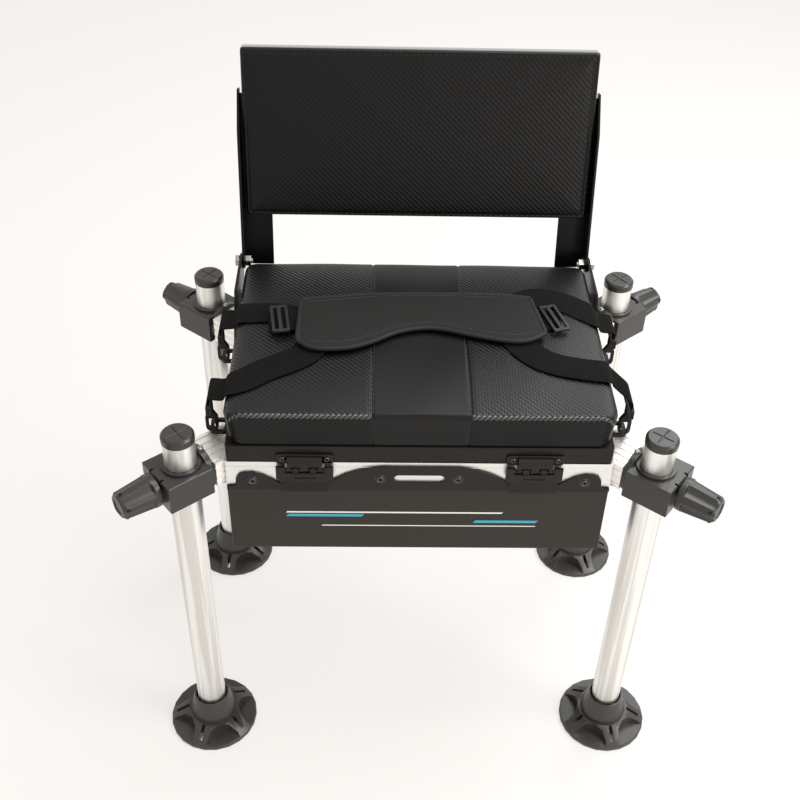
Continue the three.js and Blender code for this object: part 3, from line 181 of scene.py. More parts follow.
def add_grain(tree, shader, colour, size, stretch=(1, 1, 1), **changes):
    """Noise whose grain has a real size in millimetres, in the piece's own place, and what it changes."""
    place = add(tree, "ShaderNodeTexCoord")
    mapping = add(tree, "ShaderNodeMapping", {"Vector": place.outputs["Object"], "Scale": stretch})
    noise = add(tree, "ShaderNodeTexNoise", {
        "Vector": mapping.outputs["Vector"], "Scale": 1 / (size * MM), "Detail": 3.0, "Roughness": 0.6,
    })
    vary(tree, shader, colour, noise.outputs["Fac"], **changes)
    return noise.outputs["Fac"]


def grained(name, colour, roughness, *grains, **sockets):
    """A material whose whole pattern is one or two grains."""
    material, tree, shader = start_finish(name, colour, roughness, **sockets)
    for grain in grains:
        add_grain(tree, shader, colour, **grain)
    return material


def weave_axes(tree):
    """A piece's two weave coordinates, along it and across it."""
    weave = add(tree, "ShaderNodeUVMap", uv_map="weave")
    axes = add(tree, "ShaderNodeSeparateXYZ", {"Vector": weave.outputs["UV"]})
    return axes.outputs["X"], axes.outputs["Y"]


def wave(tree, place, length, shape="SINE"):
    """A wave of a given length over a coordinate."""
    turns = add(tree, "ShaderNodeMath", {0: place, 1: math.tau / length}, operation="MULTIPLY")
    return add(tree, "ShaderNodeMath", {0: turns.outputs[0]}, operation=shape).outputs[0]


# Finishes. Real coated, moulded and knitted grains are mostly finer than 0.5 mm. Grains of 0.8 to 2.5 mm
# here are drawn coarser than those, so that they show
def black_zinc():
    """Black zinc plate on screw heads: dark metal whose rounded rim shows bright arcs."""
    cloud = dict(size=2, tone=(0.7, 1.1), gloss=(0.18, 0.34))
    return grained("black_zinc", linear("#5f5d5a"), 0.24, cloud, Metallic=1.0)


def glass_filled_nylon():
    """Injection-moulded nylon: an even spark-eroded grain that greys its highlights."""
    grain = dict(size=1.1, gloss=(0.22, 0.38), bump=(0.12, 0.6))
    patches = dict(size=35, tone=(0.9, 1.12))
    return grained("glass_filled_nylon", colours().moulded, 0.36, grain, patches)


def moulded_polypropylene():
    """Moulded polypropylene lid rim and body: waxy, with a fine leather-like grain."""
    grain = dict(size=1.6, bump=(0.1, 0.5))
    patches = dict(size=60, tone=(0.88, 1.12), gloss=(0.36, 0.48))
    return grained("moulded_polypropylene", colours().rim, 0.42, grain, patches, Specular_IOR_Level=0.24)


def powder_coated_steel():
    """Powder-coated sheet steel: satin with a slight orange-peel surface."""
    peel = dict(size=1.4, tone=(0.9, 1.1), gloss=(0.36, 0.5), bump=(0.08, 0.6))
    return grained("powder_coated_steel", colours().coated, 0.42, peel, Specular_IOR_Level=0.3)


def black_gloss_steel():
    """Black gloss paint on sheet steel: deep black that only lights up along its folded edges."""
    peel = dict(size=5, tone=(0.9, 1.2), gloss=(0.28, 0.4), bump=(0.06, 0.4))
    return grained("black_gloss_steel", linear("#0b0a0a"), 0.34, peel, Specular_IOR_Level=0.2)


def painted_highlight_welt_vinyl():
    """Glossy vinyl drawn tight over the welt's twisted cord, painted lighter than the cover, each turn's
    crest painted pale grey as a painted highlight.
    """
    # Base painted a fifth lighter than the cover vinyl: painted light
    colour = shaded(colours().vinyl, 1.2)[:3]
    pitch = sizes().piping_pitch
    material, tree, shader = start_finish("painted_highlight_welt_vinyl", colour, 0.3, Specular_IOR_Level=0.6)
    along, across = weave_axes(tree)
    around = add(tree, "ShaderNodeMath", {0: across, 1: 2 * math.tau}, operation="MULTIPLY")
    ahead = add(tree, "ShaderNodeMath", {0: along, 1: math.tau / pitch}, operation="MULTIPLY")
    turn = add(tree, "ShaderNodeMath", {0: around.outputs[0], 1: ahead.outputs[0]}, operation="SUBTRACT")
    lobe = add(tree, "ShaderNodeMath", {0: turn.outputs[0]}, operation="COSINE")
    back = add(
        tree, "ShaderNodeMapRange", {"Value": lobe.outputs[0], "From Min": 0.4, "From Max": 1.0},
        interpolation_type="SMOOTHSTEP",
    )
    # Each twist's crest is painted pale grey: a painted highlight
    colour_between(tree, shader, back.outputs["Result"], (*colour, 1), (*linear("#5c5b59"), 1))
    add_grain(tree, shader, colour, 1.2, gloss=(0.2, 0.34), bump=(0.06, 0.4))
    return material


def lacquered_panel():
    """Lacquered composite front panel: smooth, semi-gloss, with faint rubbed patches."""
    patches = dict(size=45, tone=(0.92, 1.08), gloss=(0.3, 0.42))
    speckle = dict(size=2.2, bump=(0.05, 0.4))
    return grained("lacquered_panel", colours().panel, 0.35, patches, speckle, Specular_IOR_Level=0.3)


def anodised_tube():
    """Bright-anodised extruded tube: drawn lines and faint warm streaks run along its length."""
    colour = colours().aluminium
    material, tree, shader = start_finish("anodised_tube", colour, 0.3, Metallic=1.0)
    add_grain(tree, shader, colour, 1.2, (1, 1, 0.01), gloss=(0.34, 0.48), bump=(0.06, 0.5))
    streak = add_grain(tree, shader, colour, 9, (1, 1, 0.02))
    edge = add(
        tree, "ShaderNodeMapRange", {"Value": streak, "From Min": 0.38, "From Max": 0.54},
        interpolation_type="SMOOTHSTEP",
    )
    colour_between(tree, shader, edge.outputs["Result"], (*linear("#e0dcd6"), 1), shaded(colour, 1.04))
    return material


def anodised_rail():
    """Satin-anodised extruded rail: finely brushed along its length."""
    drawn = dict(size=1.4, stretch=(0.02, 0.02, 1), tone=(0.84, 1.0), gloss=(0.32, 0.46), bump=(0.05, 0.4))
    return grained("satin_anodised_rail", colours().aluminium, 0.38, drawn, Metallic=1.0)


def satin_arm():
    """Satin-anodised corner arm: etched pale, so its ribs stay light even in their grooves."""
    etched = dict(size=2.5, tone=(0.94, 1.02), gloss=(0.42, 0.58))
    return grained("satin_anodised_arm", linear("#fbf8f3"), 0.5, etched, Metallic=0.85)


def zinc_plate():
    """Bright zinc plate on steel: crisp, a little cloudy."""
    cloud = dict(size=4, tone=(0.92, 1.03), gloss=(0.22, 0.32))
    return grained("bright_zinc", linear("#a9a6a0"), 0.24, cloud, Metallic=1.0)


def moulded_rubber():
    """Moulded hard rubber of the mud feet: matt, with scuffs from the mould."""
    scuff = dict(size=6, tone=(0.8, 1.25), gloss=(0.2, 0.44))
    grain = dict(size=1.3, bump=(0.12, 0.5))
    return grained("moulded_rubber", colours().rubber, 0.42, scuff, grain)


def twill_finish(name, depth, dark, gloss, mirror=0.34):
    """Embossed vinyl with a carbon-look twill: slanting ribs of short parallel threads."""
    colour = colours().vinyl
    pitch = sizes().twill_pitch
    material, tree, shader = start_finish(name, colour, gloss, Specular_IOR_Level=mirror)
    along, across = weave_axes(tree)
    slant = add(tree, "ShaderNodeMath", {0: along, 1: across}, operation="ADD")
    rib = add(
        tree, "ShaderNodeMapRange", {"Value": wave(tree, slant.outputs[0], pitch), "From Min": -1.0},
        interpolation_type="SMOOTHSTEP",
    ).outputs["Result"]
    # Two threads to each rib's length along the weave
    thread = wave(tree, along, pitch / 2, "COSINE")
    step = add(tree, "ShaderNodeMath", {0: thread, 1: 0.14}, operation="MULTIPLY")
    height = add(tree, "ShaderNodeMath", {0: rib, 1: step.outputs[0]}, operation="ADD")
    vary(tree, shader, colour, height.outputs[0], bump=(depth, 0.8))
    # Rib grooves painted darker and crests lighter: painted shade and painted highlight on the embossing
    vary(tree, shader, colour, rib, tone=(dark, 1.1), gloss=(gloss + 0.06, gloss - 0.05))
    return material


def twill_vinyl():
    """The seat's cover: deeply embossed, with painted shade in its rib grooves and a painted highlight on the
    crests, so its ribs read as dark and light bands.
    """
    return twill_finish("twill_embossed_vinyl", 0.4, 0.65, 0.38)


def stretched_twill():
    """The same vinyl pulled tight over the backrest and the seat's sides: flatter ribs, more even."""
    return twill_finish("stretched_twill_vinyl", 0.2, 0.8, 0.38, 0.2)


def plain_vinyl():
    """Plain calendered vinyl: a soft leather grain with a satin face."""
    colour = colours().vinyl
    material, tree, shader = start_finish("plain_grain_vinyl", colour, 0.4, Specular_IOR_Level=0.25)
    place = add(tree, "ShaderNodeTexCoord")
    cells = add(
        tree, "ShaderNodeTexVoronoi", {"Vector": place.outputs["Object"], "Scale": 1 / (1.6 * MM)},
        feature="DISTANCE_TO_EDGE",
    )
    vary(tree, shader, colour, cells.outputs["Distance"], bump=(0.1, 0.4))
    add_grain(tree, shader, colour, 50, tone=(0.9, 1.1), gloss=(0.38, 0.48))
    return material


def painted_reflection_vinyl():
    """Smooth vinyl stretched over the backrest's border, its pale grey-green base colour a painted reflection
    of the room where it is seen edge on.
    """
    grain = dict(size=1.6, gloss=(0.22, 0.34), bump=(0.04, 0.3))
    # The pale grey-green base colour is a painted reflection on black vinyl
    return grained(
        "painted_reflection_top_band", linear("#4d5550"), 0.3, grain,
        Specular_IOR_Level=0.5, Coat_Weight=1.0, Coat_Roughness=0.12,
    )


def woven_webbing():
    """Woven polypropylene webbing: short floats in staggered rows, drawn twice their real size to show, with
    painted shade in the gaps between floats.
    """
    colour = colours().webbing
    name = "woven_polypropylene_webbing"
    material, tree, shader = start_finish(name, colour, 0.85, Specular_IOR_Level=0.12)
    weave = add(tree, "ShaderNodeUVMap", uv_map="weave")
    # The mortar colour, a third of the webbing's, is painted shade in the gaps between floats
    pattern = add(tree, "ShaderNodeTexBrick", {
        "Vector": weave.outputs["UV"], "Scale": 1.0, "Mortar Size": 0.35 * MM, "Mortar Smooth": 0.8,
        "Brick Width": 3.4 * MM, "Row Height": 1.7 * MM,
        "Color1": shaded(colour, 0.9), "Color2": shaded(colour, 1.25), "Mortar": shaded(colour, 0.35),
    }, offset=0.5)
    tree.links.new(pattern.outputs["Color"], shader.inputs["Base Color"])
    vary(tree, shader, colour, pattern.outputs["Fac"], bump=(-0.35, 0.9))
    return material


def bound_neoprene():
    """Knit-faced neoprene: very fine jersey loops that scatter light."""
    loops = dict(size=1.1, tone=(0.85, 1.15), bump=(0.16, 0.7))
    return grained("knit_faced_neoprene", colours().strap_pad, 0.75, loops, Specular_IOR_Level=0.3)


def binding_tape():
    """Grosgrain binding tape: close ribs across the tape, their crests painted lighter as a painted
    highlight.
    """
    colour = colours().strap_pad
    material, tree, shader = start_finish("grosgrain_binding", colour, 0.6, Specular_IOR_Level=0.3)
    rib = wave(tree, weave_axes(tree)[0], 1.5 * MM)
    # Rib crests painted lighter than the troughs: painted highlight
    vary(tree, shader, colour, rib, tone=(1.1, 1.5), bump=(0.1, 0.5))
    return material


def bonded_thread():
    """Bonded nylon sewing thread: two plies with a slight shine."""
    ply = dict(size=0.8, tone=(0.7, 1.2), bump=(0.1, 0.6))
    return grained("bonded_nylon_thread", linear("#343332"), 0.5, ply)


def acetal():
    """Moulded acetal buckles: black with a soft gloss that catches edges."""
    flow = dict(size=8, tone=(0.85, 1.2), gloss=(0.24, 0.38))
    return grained("moulded_acetal", linear("#272626"), 0.24, flow, Specular_IOR_Level=0.8)


def screen_ink(name, colour):
    """Screen-printed ink: a thin even film with a slightly uneven gloss."""
    return grained(name, colour, 0.4, dict(size=3, tone=(0.92, 1.04), gloss=(0.34, 0.5)))


def white_ink():
    return screen_ink("white_screen_ink", linear("#f2f0ee"))


def accent_ink():
    return screen_ink("accent_screen_ink", colours().accent)


FINISHES = {}


def finish(maker):
    """The material of one maker function, made once."""
    if maker not in FINISHES:
        FINISHES[maker] = maker()
    return FINISHES[maker]


# Lines, rings and meshes
def unit(vector):
    return vector / np.linalg.norm(vector)


def walk(line):
    """Distance walked along a line at each of its points."""
    return np.concatenate([[0], np.cumsum(np.linalg.norm(np.diff(line, axis=0), axis=1))])


def points_at(line, walked, places):
    """Points at places along a line whose own points stand at the walked places."""
    return np.array([[np.interp(place, walked, axis) for axis in line.T] for place in places])


def smooth_line(stations, steps):
    """Points on a smooth curve through the stations, with even steps from each to the next."""
    stations = np.array(stations, float)
    padded = np.vstack([2 * stations[0] - stations[1], stations, 2 * stations[-1] - stations[-2]])
    line = []
    for i in range(len(stations) - 1):
        a, b, c, d = padded[i : i + 4]
        for t in np.arange(steps) / steps:
            square, cube = 2 * a - 5 * b + 4 * c - d, 3 * b - a - 3 * c + d
            line.append(0.5 * (2 * b + (c - a) * t + square * t**2 + cube * t**3))
    line.append(stations[-1])
    return np.array(line)


def framed(line, guide):
    """Each point of a line with two directions square to its way, the first also square to a guide."""
    for point, tangent in zip(line, np.gradient(line, axis=0)):
        side = unit(np.cross(unit(tangent), guide))
        yield point, side, np.cross(side, unit(tangent))


def circle(centre, across, down, radius, count):
    """Points round a centre in the plane of two directions. The radius may differ for each point."""
    angles = np.linspace(0, math.tau, count, endpoint=False)[:, None]
    return centre + radius * (np.cos(angles) * across + np.sin(angles) * down)


def skin(total, count, base=0, loop=False):
    """Faces over rings of count points each, with a cap at both ends, or closed to a loop."""
    faces = []
    for ring in range(total if loop else total - 1):
        low, high = base + ring * count, base + (ring + 1) % total * count
        for i in range(count):
            j = (i + 1) % count
            faces.append((low + i, low + j, high + j, high + i))
    if not loop:
        faces.append(tuple(range(base, base + count))[::-1])
        faces.append(tuple(range(base + (total - 1) * count, base + total * count)))
    return faces


def grid(rows, columns):
    """Faces of a grid of points, and the points of its rim in order."""
    faces = []
    for row in range(rows - 1):
        for a in range(row * columns, row * columns + columns - 1):
            faces.append((a, a + 1, a + columns + 1, a + columns))
    rim = list(range(columns - 1))
    rim += [row * columns + columns - 1 for row in range(rows - 1)]
    rim += [(rows - 1) * columns + column for column in range(columns - 1, 0, -1)]
    rim += [row * columns for row in range(rows - 1, 0, -1)]
    return faces, rim


def mesh_piece(name, points, faces, makers, body, weave=None):
    """A smooth mesh piece that rides on a body. It has one finish or a list with one for each face, and
    weave holds one UV pair for each face corner."""
    mesh = bpy.data.meshes.new(name)
    mesh.from_pydata([tuple(p) for p in points], [], faces)
    used = list(dict.fromkeys(makers)) if isinstance(makers, list) else [makers]
    for maker in used:
        mesh.materials.append(finish(maker))
    if len(used) > 1:
        mesh.polygons.foreach_set("material_index", [used.index(maker) for maker in makers])
    mesh.polygons.foreach_set("use_smooth", [True] * len(mesh.polygons))
    if weave is not None:
        layer = mesh.uv_layers.new(name="weave")
        layer.data.foreach_set("uv", np.array(weave, np.float32).ravel())
    mesh.update()
    piece = bpy.data.objects.new(name, mesh)
    bpy.context.scene.collection.objects.link(piece)
    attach(piece, body)
    return piece


def swept(name, rings, maker, turn_shares=False):
    """A capped skin over even rings on the seat top. Its weave runs along it in metres, and across it in
    metres or as shares of a turn."""
    rings = np.array(rings, float)
    total, count = rings.shape[:2]
    along = walk(rings.mean(axis=1))
    across = np.arange(count + 1) / count if turn_shares else walk(np.vstack([rings[0], rings[0][:1]]))
    weave = []
    for u, v in zip(along, along[1:]):
        for a, b in zip(across, across[1:]):
            weave += [(u, a), (u, b), (v, b), (v, a)]
    weave += [(0, 0)] * count * 2
    return mesh_piece(name, rings.reshape(-1, 3), skin(total, count), maker, "seat_top", weave)


def turned_piece(name, shapes, maker, body, count, loop=False):
    """Turned shapes as one piece, each with a centre, three axes and a profile of radii and heights along
    the third axis, in millimetres."""
    points, faces = [], []
    for centre, axes, profile in shapes:
        across, down, normal = (np.array(axis) for axis in axes)
        faces += skin(len(profile), count, len(points), loop)
        for radius, proud in profile:
            points.extend(circle(np.array(centre) + normal * proud * MM, across, down, radius * MM, count))
    return mesh_piece(name, points, faces, maker, body)


THREAD = 0.45 * MM
STITCH_GAP = 1.35
STITCH_SHAPE = ((0, 0.5), (0.12, 1), (0.5, 1.1), (0.88, 1), (1, 0.5))


def stitches(name, lines):
    """A row of short stitches along each line, sunk a little at both ends."""
    length = sizes().stitch
    points, faces = [], []
    for line in lines:
        line = np.array(line, float)
        walked = walk(line)
        for start in np.arange(0, walked[-1] - length, length * STITCH_GAP):
            centres = points_at(line, walked, [start + length * share for share, size in STITCH_SHAPE])
            centres[[0, -1], 2] -= THREAD * 1.6
            way = centres[-1] - centres[0]
            side = unit(np.cross(way, UP))
            lift = unit(np.cross(side, way))
            faces += skin(len(centres), 6, len(points))
            for centre, (share, size) in zip(centres, STITCH_SHAPE):
                points.extend(circle(centre, side, lift, THREAD * size, 6))
    return mesh_piece(name, points, faces, bonded_thread, "seat_top")


# Seat cushion
FRONT_ROLL = 4 * MM
SIDE_ROLL = 10 * MM
REAR_ROLL = 15 * MM
CUSHION_CORNER = 18 * MM
CUSHION_EDGE = 534 * MM
CUSHION_SIDE = 45 * MM
SEAM_X = 53 * MM
SEAM_HALF = 2.2 * MM
SEAM_DEPTH = 1.5 * MM
SIDE_DRAW = 1.8 * MM
SIDE_LEVELS = (0.93, 0.8, 0.6, 0.4, 0.2, 0.07, 0.0)
GRID_PITCH = 6 * MM
FINE_PITCH = 0.7 * MM


def roll_drop(inset, radius):
    """Drop of a rolled edge at a place inside it."""
    inset = np.clip(inset, 0, radius)
    return radius - np.sqrt(radius**2 - (radius - inset) ** 2)


def cushion_top(x, y):
    """Height of the cushion over a place measured from the cushion's middle."""
    across = np.minimum(np.abs(x) / HALF_LENGTH, 1)
    deep = np.minimum(np.abs(y) / HALF_WIDTH, 1)
    crown = sizes().crown * (1 - across**3) * (1 - deep**3)
    drop = roll_drop(HALF_LENGTH - np.abs(x), SIDE_ROLL)
    drop = drop + roll_drop(HALF_WIDTH + y, FRONT_ROLL) + roll_drop(HALF_WIDTH - y, REAR_ROLL)
    return CUSHION_EDGE + crown - np.minimum(drop, REAR_ROLL)


def seam_groove(x):
    """Depth of the sewn seams at a place along the cushion."""
    away = np.abs(np.abs(x) - SEAM_X) / SEAM_HALF
    return SEAM_DEPTH * np.clip(1 - away, 0, 1) ** 0.7


def cushion_height(x, y):
    """Height of the cover, with its seams and the foam's slow unevenness of about half a millimetre."""
    slow = np.sin(x * 31 + 1.3) * np.sin(y * 37 + 0.4) + 0.6 * np.sin(x * 63 - y * 41 + 2.1)
    return float(cushion_top(x, y) - seam_groove(x) + 0.35 * MM * slow)


def corner_place(x, y):
    """Draws a grid point near a corner onto the rounded corner."""
    over_x = (abs(x) - HALF_LENGTH + CUSHION_CORNER) / CUSHION_CORNER
    over_y = (abs(y) - HALF_WIDTH + CUSHION_CORNER) / CUSHION_CORNER
    if over_x <= 0 or over_y <= 0:
        return x, y
    drawn_x = over_x * math.sqrt(1 - over_y**2 / 2)
    drawn_y = over_y * math.sqrt(1 - over_x**2 / 2)
    return (
        math.copysign(HALF_LENGTH - CUSHION_CORNER + drawn_x * CUSHION_CORNER, x),
        math.copysign(HALF_WIDTH - CUSHION_CORNER + drawn_y * CUSHION_CORNER, y),
    )


def spaced(half, fine=()):
    """Even places from -half to half, with closer ones near each fine place and the ends."""
    places = set(np.linspace(-half, half, int(2 * half / GRID_PITCH) + 1))
    for middle in fine:
        places.update(middle + step * FINE_PITCH for step in range(-4, 5))
    for step in range(1, 8):
        places.update((half - step * FINE_PITCH * 1.4, -half + step * FINE_PITCH * 1.4))
    kept = []
    for place in sorted(p for p in places if abs(p) <= half + 1e-9):
        if not kept or place - kept[-1] > FINE_PITCH * 0.45:
            kept.append(place)
    kept[-1] = half
    return kept


def seat_cushion():
    """Crowned cushion with two sewn seams, rolled edges and drawn-in sides."""
    columns, rows = spaced(HALF_LENGTH, (-SEAM_X, SEAM_X)), spaced(HALF_WIDTH)
    bottom = CUSHION_LOW.z
    points = [(*corner_place(x, y), cushion_height(x, y)) for y in rows for x in columns]
    faces, rim = grid(len(rows), len(columns))
    weave = [points[i][:2] for face in faces for i in face]
    middles = [abs(a + b) / 2 for a, b in zip(columns, columns[1:])]
    makers = [plain_vinyl if middle < SEAM_X else twill_vinyl for middle in middles] * (len(rows) - 1)
    travel = walk([points[i][:2] for i in rim + rim[:1]])
    ring, previous = rim, 1.0
    for share in SIDE_LEVELS:
        following = range(len(points), len(points) + len(rim))
        bow = SIDE_DRAW * math.sin(math.pi * (1 - share)) * 0.6 + SIDE_DRAW * (1 - share) ** 3
        tuck = (OVERHANG + SIDE_DRAW * 0.3) * (1 - share) ** 1.6
        low, high = (1 - share) * CUSHION_SIDE, (1 - previous) * CUSHION_SIDE
        for x, y, z in [points[i] for i in rim]:
            groove = float(seam_groove(x)) * 0.6 if abs(y) > HALF_WIDTH * 0.9 else 0
            inset_x, inset_y = (bow + tuck) / HALF_LENGTH, (bow + groove) / HALF_WIDTH
            points.append((x * (1 - inset_x), y * (1 - inset_y), bottom + (z - bottom) * share))
        for i in range(len(rim)):
            j = (i + 1) % len(rim)
            faces.append((following[i], following[j], ring[j], ring[i]))
            u, v = travel[i], travel[i + 1]
            weave += [(u, low), (v, low), (v, high), (u, high)]
            x, y = (points[rim[i]][0] + points[rim[j]][0]) / 2, points[rim[i]][1]
            makers.append(plain_vinyl if abs(x) < SEAM_X and y < 0 else stretched_twill)
        ring, previous = following, share
    faces.append(tuple(ring)[::-1])
    weave += [points[i][:2] for i in faces[-1]]
    makers.append(twill_vinyl)
    placed = [(x, y + SEAT_Y, z) for x, y, z in points]
    piece = mesh_piece("seat_cushion_cover", placed, faces, makers, "seat_top", weave)
    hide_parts("seat_cushion")


def seam_lines():
    """Lines of the stitches beside the two sewn seams."""
    lines = []
    for side in (-1, 1):
        x = side * (SEAM_X - 1.6 * MM)
        places = np.linspace(-HALF_WIDTH + 5 * MM, HALF_WIDTH - 12 * MM, 90)
        lines.append([(x, y + SEAT_Y, cushion_height(x, y) + 0.3 * MM) for y in places])
    return lines


WELT_BEND = 17 * MM
WELT_INSET = 6 * MM
WELT_SIDES = 18
WELT_LOBE = 0.24


def front_face_place(u, z, proud):
    """A place on the cushion's front face, u along it from the middle and round the corner."""
    flat = HALF_LENGTH - CUSHION_CORNER
    turn = max(abs(u) - flat, 0) / CUSHION_CORNER
    reach = CUSHION_CORNER + proud
    x = min(abs(u), flat) + reach * math.sin(turn)
    y = CUSHION_CORNER - HALF_WIDTH - reach * math.cos(turn)
    return math.copysign(x, u), y + SEAT_Y, z


def piping_path(side):
    """Centre line of the welt: along the front top edge and down over the rounded corner."""
    top = CUSHION_EDGE - 0.6 * MM
    bend_x, bend_z = HALF_LENGTH - WELT_INSET - WELT_BEND, top - WELT_BEND
    line = [(u, top) for u in np.linspace(SEAM_X + 1 * MM, bend_x, 140)]
    for angle in np.linspace(0, math.pi * 0.42, 30)[1:]:
        line.append((bend_x + WELT_BEND * math.sin(angle), bend_z + WELT_BEND * math.cos(angle)))
    return np.array([front_face_place(side * u, z, 0.5 * MM) for u, z in line])


def twisted_piping(name, path):
    """Welt whose cover shows as a twist; it thins out and sinks in towards the corner."""
    radius, pitch = sizes().piping_radius, sizes().piping_pitch
    walked = walk(path)
    places = np.arange(0, walked[-1], FINE_PITCH)
    angles = np.linspace(0, math.tau, WELT_SIDES, endpoint=False)[:, None]
    rings = []
    for s, (point, side, lift) in zip(places, framed(points_at(path, walked, places), FRONT)):
        thin = min(1, 0.5 + 2.5 * (walked[-1] - s) / walked[-1])
        sunk = point + np.array([0, 1, -0.3]) * radius * (1 - thin)
        lobe = 1 + WELT_LOBE * np.cos(2 * angles - math.tau * s / pitch)
        rings.append(circle(sunk, side, lift, radius * thin * lobe, WELT_SIDES))
    return swept(name, rings, painted_highlight_welt_vinyl, turn_shares=True)


# Carrying strap. Its routes are in shares of the lid's half length and the cushion's half width
PAD_REAR_EDGE = (
    (-0.645, 0.268), (-0.491, 0.302), (-0.222, 0.349), (0.179, 0.362), (0.458, 0.356), (0.623, 0.322),
)
PAD_FRONT_EDGE = (
    (-0.65, -0.25), (-0.56, -0.345), (-0.396, -0.342), (-0.264, -0.268), (-0.104, -0.128),
    (0.08, -0.081), (0.321, -0.181), (0.481, -0.235), (0.585, -0.221), (0.679, -0.134),
)
WEB_ROUTES = {
    "left": (
        (-0.896, 0.188), (-0.778, 0.168), (-0.67, 0.101), (-0.59, -0.04), (-0.561, -0.188),
        (-0.604, -0.356), (-0.698, -0.456), (-0.811, -0.537), (-0.906, -0.631),
    ),
    "right": (
        (0.906, 0.282), (0.792, 0.376), (0.679, 0.403), (0.575, 0.322), (0.519, 0.168),
        (0.509, -0.027), (0.533, -0.201), (0.613, -0.369), (0.726, -0.456), (0.877, -0.49),
    ),
}
# Side of the seat, and where the webbing stands at its hook and at the cushion's edge
STRAP_ENDS = {
    "rear_left": (-1, 29 * MM, 29 * MM),
    "rear_right": (1, 29 * MM, 29 * MM),
    "front_left": (-1, -98 * MM, -101 * MM),
    "front_right": (1, -98 * MM, -74 * MM),
}
# Webbing from the pad's ends to its buckles: how far it is raised over the seat, and its places, the first
# two inside the pad, all in millimetres
PAD_TABS = {
    "left": (3.5, ((-112, 6), (-127, 6), (-140, 5), (-158, 4), (-173, 3))),
    "right": (0, ((118, 12), (131, 13), (140, 13), (154, 14), (166, 14))),
}
LAID_LIFT = 1.2 * MM
WEB_STEPS = 6
# Upper part of the webbing's outline in shares of its half width and half thickness. The rest mirrors it
WEB_UPPER = ((1, 0), (0.975, 0.8), (0.93, 1), (-0.93, 1), (-0.975, 0.8))
PAD_BASE = 546.6 * MM
PAD_THICK = 6.5 * MM
PAD_MIDDLE = PAD_BASE + PAD_THICK / 2
PAD_ALONG, PAD_ACROSS = 90, 22
BINDING_RADIUS = 3.1 * MM


def route(shares):
    return [(x * LID_HALF, y * HALF_WIDTH) for x, y in shares]


def laid(x, y, lift=0.0):
    """Height of the middle of webbing that lies on the seat."""
    return float(cushion_top(x, y)) + LAID_LIFT + sizes().web_thickness / 2 + lift


def hanging(name, inward):
    """Stations from a hook's eye up and over the cushion's side edge."""
    side, hook_y, edge_y = STRAP_ENDS[name]
    low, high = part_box(f"strap_hook_{name}")
    eye_x, eye_z = abs(low.x + high.x) / 2, high.z - 0.4 * MM
    web = sizes().web_thickness
    heading = 0.0 if side * (-1 if inward else 1) > 0 else math.pi
    stations = [
        (side * eye_x, hook_y, eye_z, heading),
        (side * (eye_x - web), hook_y, eye_z + sizes().web_width * 0.2, heading),
        (side * (HALF_LENGTH + web * 1.5), edge_y, CUSHION_EDGE - SIDE_ROLL * 0.5, heading),
        (side * (HALF_LENGTH - SIDE_ROLL * 0.35), edge_y, CUSHION_EDGE + web * 1.6, heading),
    ]
    return stations if inward else stations[::-1]


def ribbon(name, stations):
    """Flat webbing with rounded edges through stations of place, height and, where given, plan heading."""
    half_width, half_thick = sizes().web_width / 2, sizes().web_thickness / 2
    line = smooth_line([station[:3] for station in stations], WEB_STEPS)
    tangents = np.gradient(line, axis=0)
    headings = []
    for station, tangent in zip(stations, tangents[::WEB_STEPS]):
        headings.append(station[3] if len(station) > 3 else math.atan2(tangent[1], tangent[0]))
    steps = np.arange(len(line)) / WEB_STEPS
    turns = np.interp(steps, np.arange(len(stations)), np.unwrap(headings))
    profile = [(-w, -t) for w, t in WEB_UPPER] + list(WEB_UPPER)
    rings = []
    for point, tangent, heading in zip(line, tangents, turns):
        across = np.array([-math.sin(heading), math.cos(heading), 0])
        normal = unit(np.cross(tangent, across))
        middle = point + REAR * SEAT_Y
        rings.append([middle + across * w * half_width + normal * t * half_thick for w, t in profile])
    return swept(name, rings, woven_webbing)


def pad_edges():
    """The shoulder pad's rear and front edges, from left to right."""
    edges = []
    for shares in (PAD_REAR_EDGE, PAD_FRONT_EDGE):
        line = smooth_line(route(shares), 14)
        edges.append(points_at(line, np.linspace(0, 1, len(line)), np.linspace(0, 1, PAD_ALONG)))
    return edges


def pad_height(t, s):
    """Height of the pad's upper face at shares along and across it."""
    dome = (1 - abs(2 * s - 1) ** 4) * (1 - abs(2 * t - 1) ** 8)
    return PAD_BASE + PAD_THICK * (0.72 + 0.3 * dome)


def pad_piece(rear, front):
    """Neoprene pad between two smooth edges, slightly domed, its underside lifted at the rim."""
    points = []
    for upper in (False, True):
        for t, a, b in zip(np.linspace(0, 1, PAD_ALONG), front, rear):
            for s in np.linspace(0, 1, PAD_ACROSS):
                x, y = a * (1 - s) + b * s
                lift = 0.9 * MM * (1 - min(min(s, 1 - s, t, 1 - t) * 14, 1))
                points.append((x, y + SEAT_Y, pad_height(t, s) if upper else PAD_BASE + lift))
    size = PAD_ALONG * PAD_ACROSS
    quads, rim = grid(PAD_ALONG, PAD_ACROSS)
    faces = []
    for a, b, c, d in quads:
        faces += [(size + a, size + d, size + c, size + b), (a, b, c, d)]
    rim = rim[:1] + rim[:0:-1]
    faces += [(a, b, size + b, size + a) for a, b in zip(rim, rim[1:] + rim[:1])]
    piece = mesh_piece("shoulder_pad_cover", points, faces, bound_neoprene, "seat_top")
    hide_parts("shoulder_pad")


def pad_binding(name, edge):
    """Tape folded round one edge of the shoulder pad."""
    line = np.array([(x, y + SEAT_Y, PAD_BASE + PAD_THICK * 0.42) for x, y in edge])
    rings = [circle(point, side, 0.95 * lift, BINDING_RADIUS, 12) for point, side, lift in framed(line, UP)]
    return swept(f"shoulder_pad_binding_{name}", rings, binding_tape)


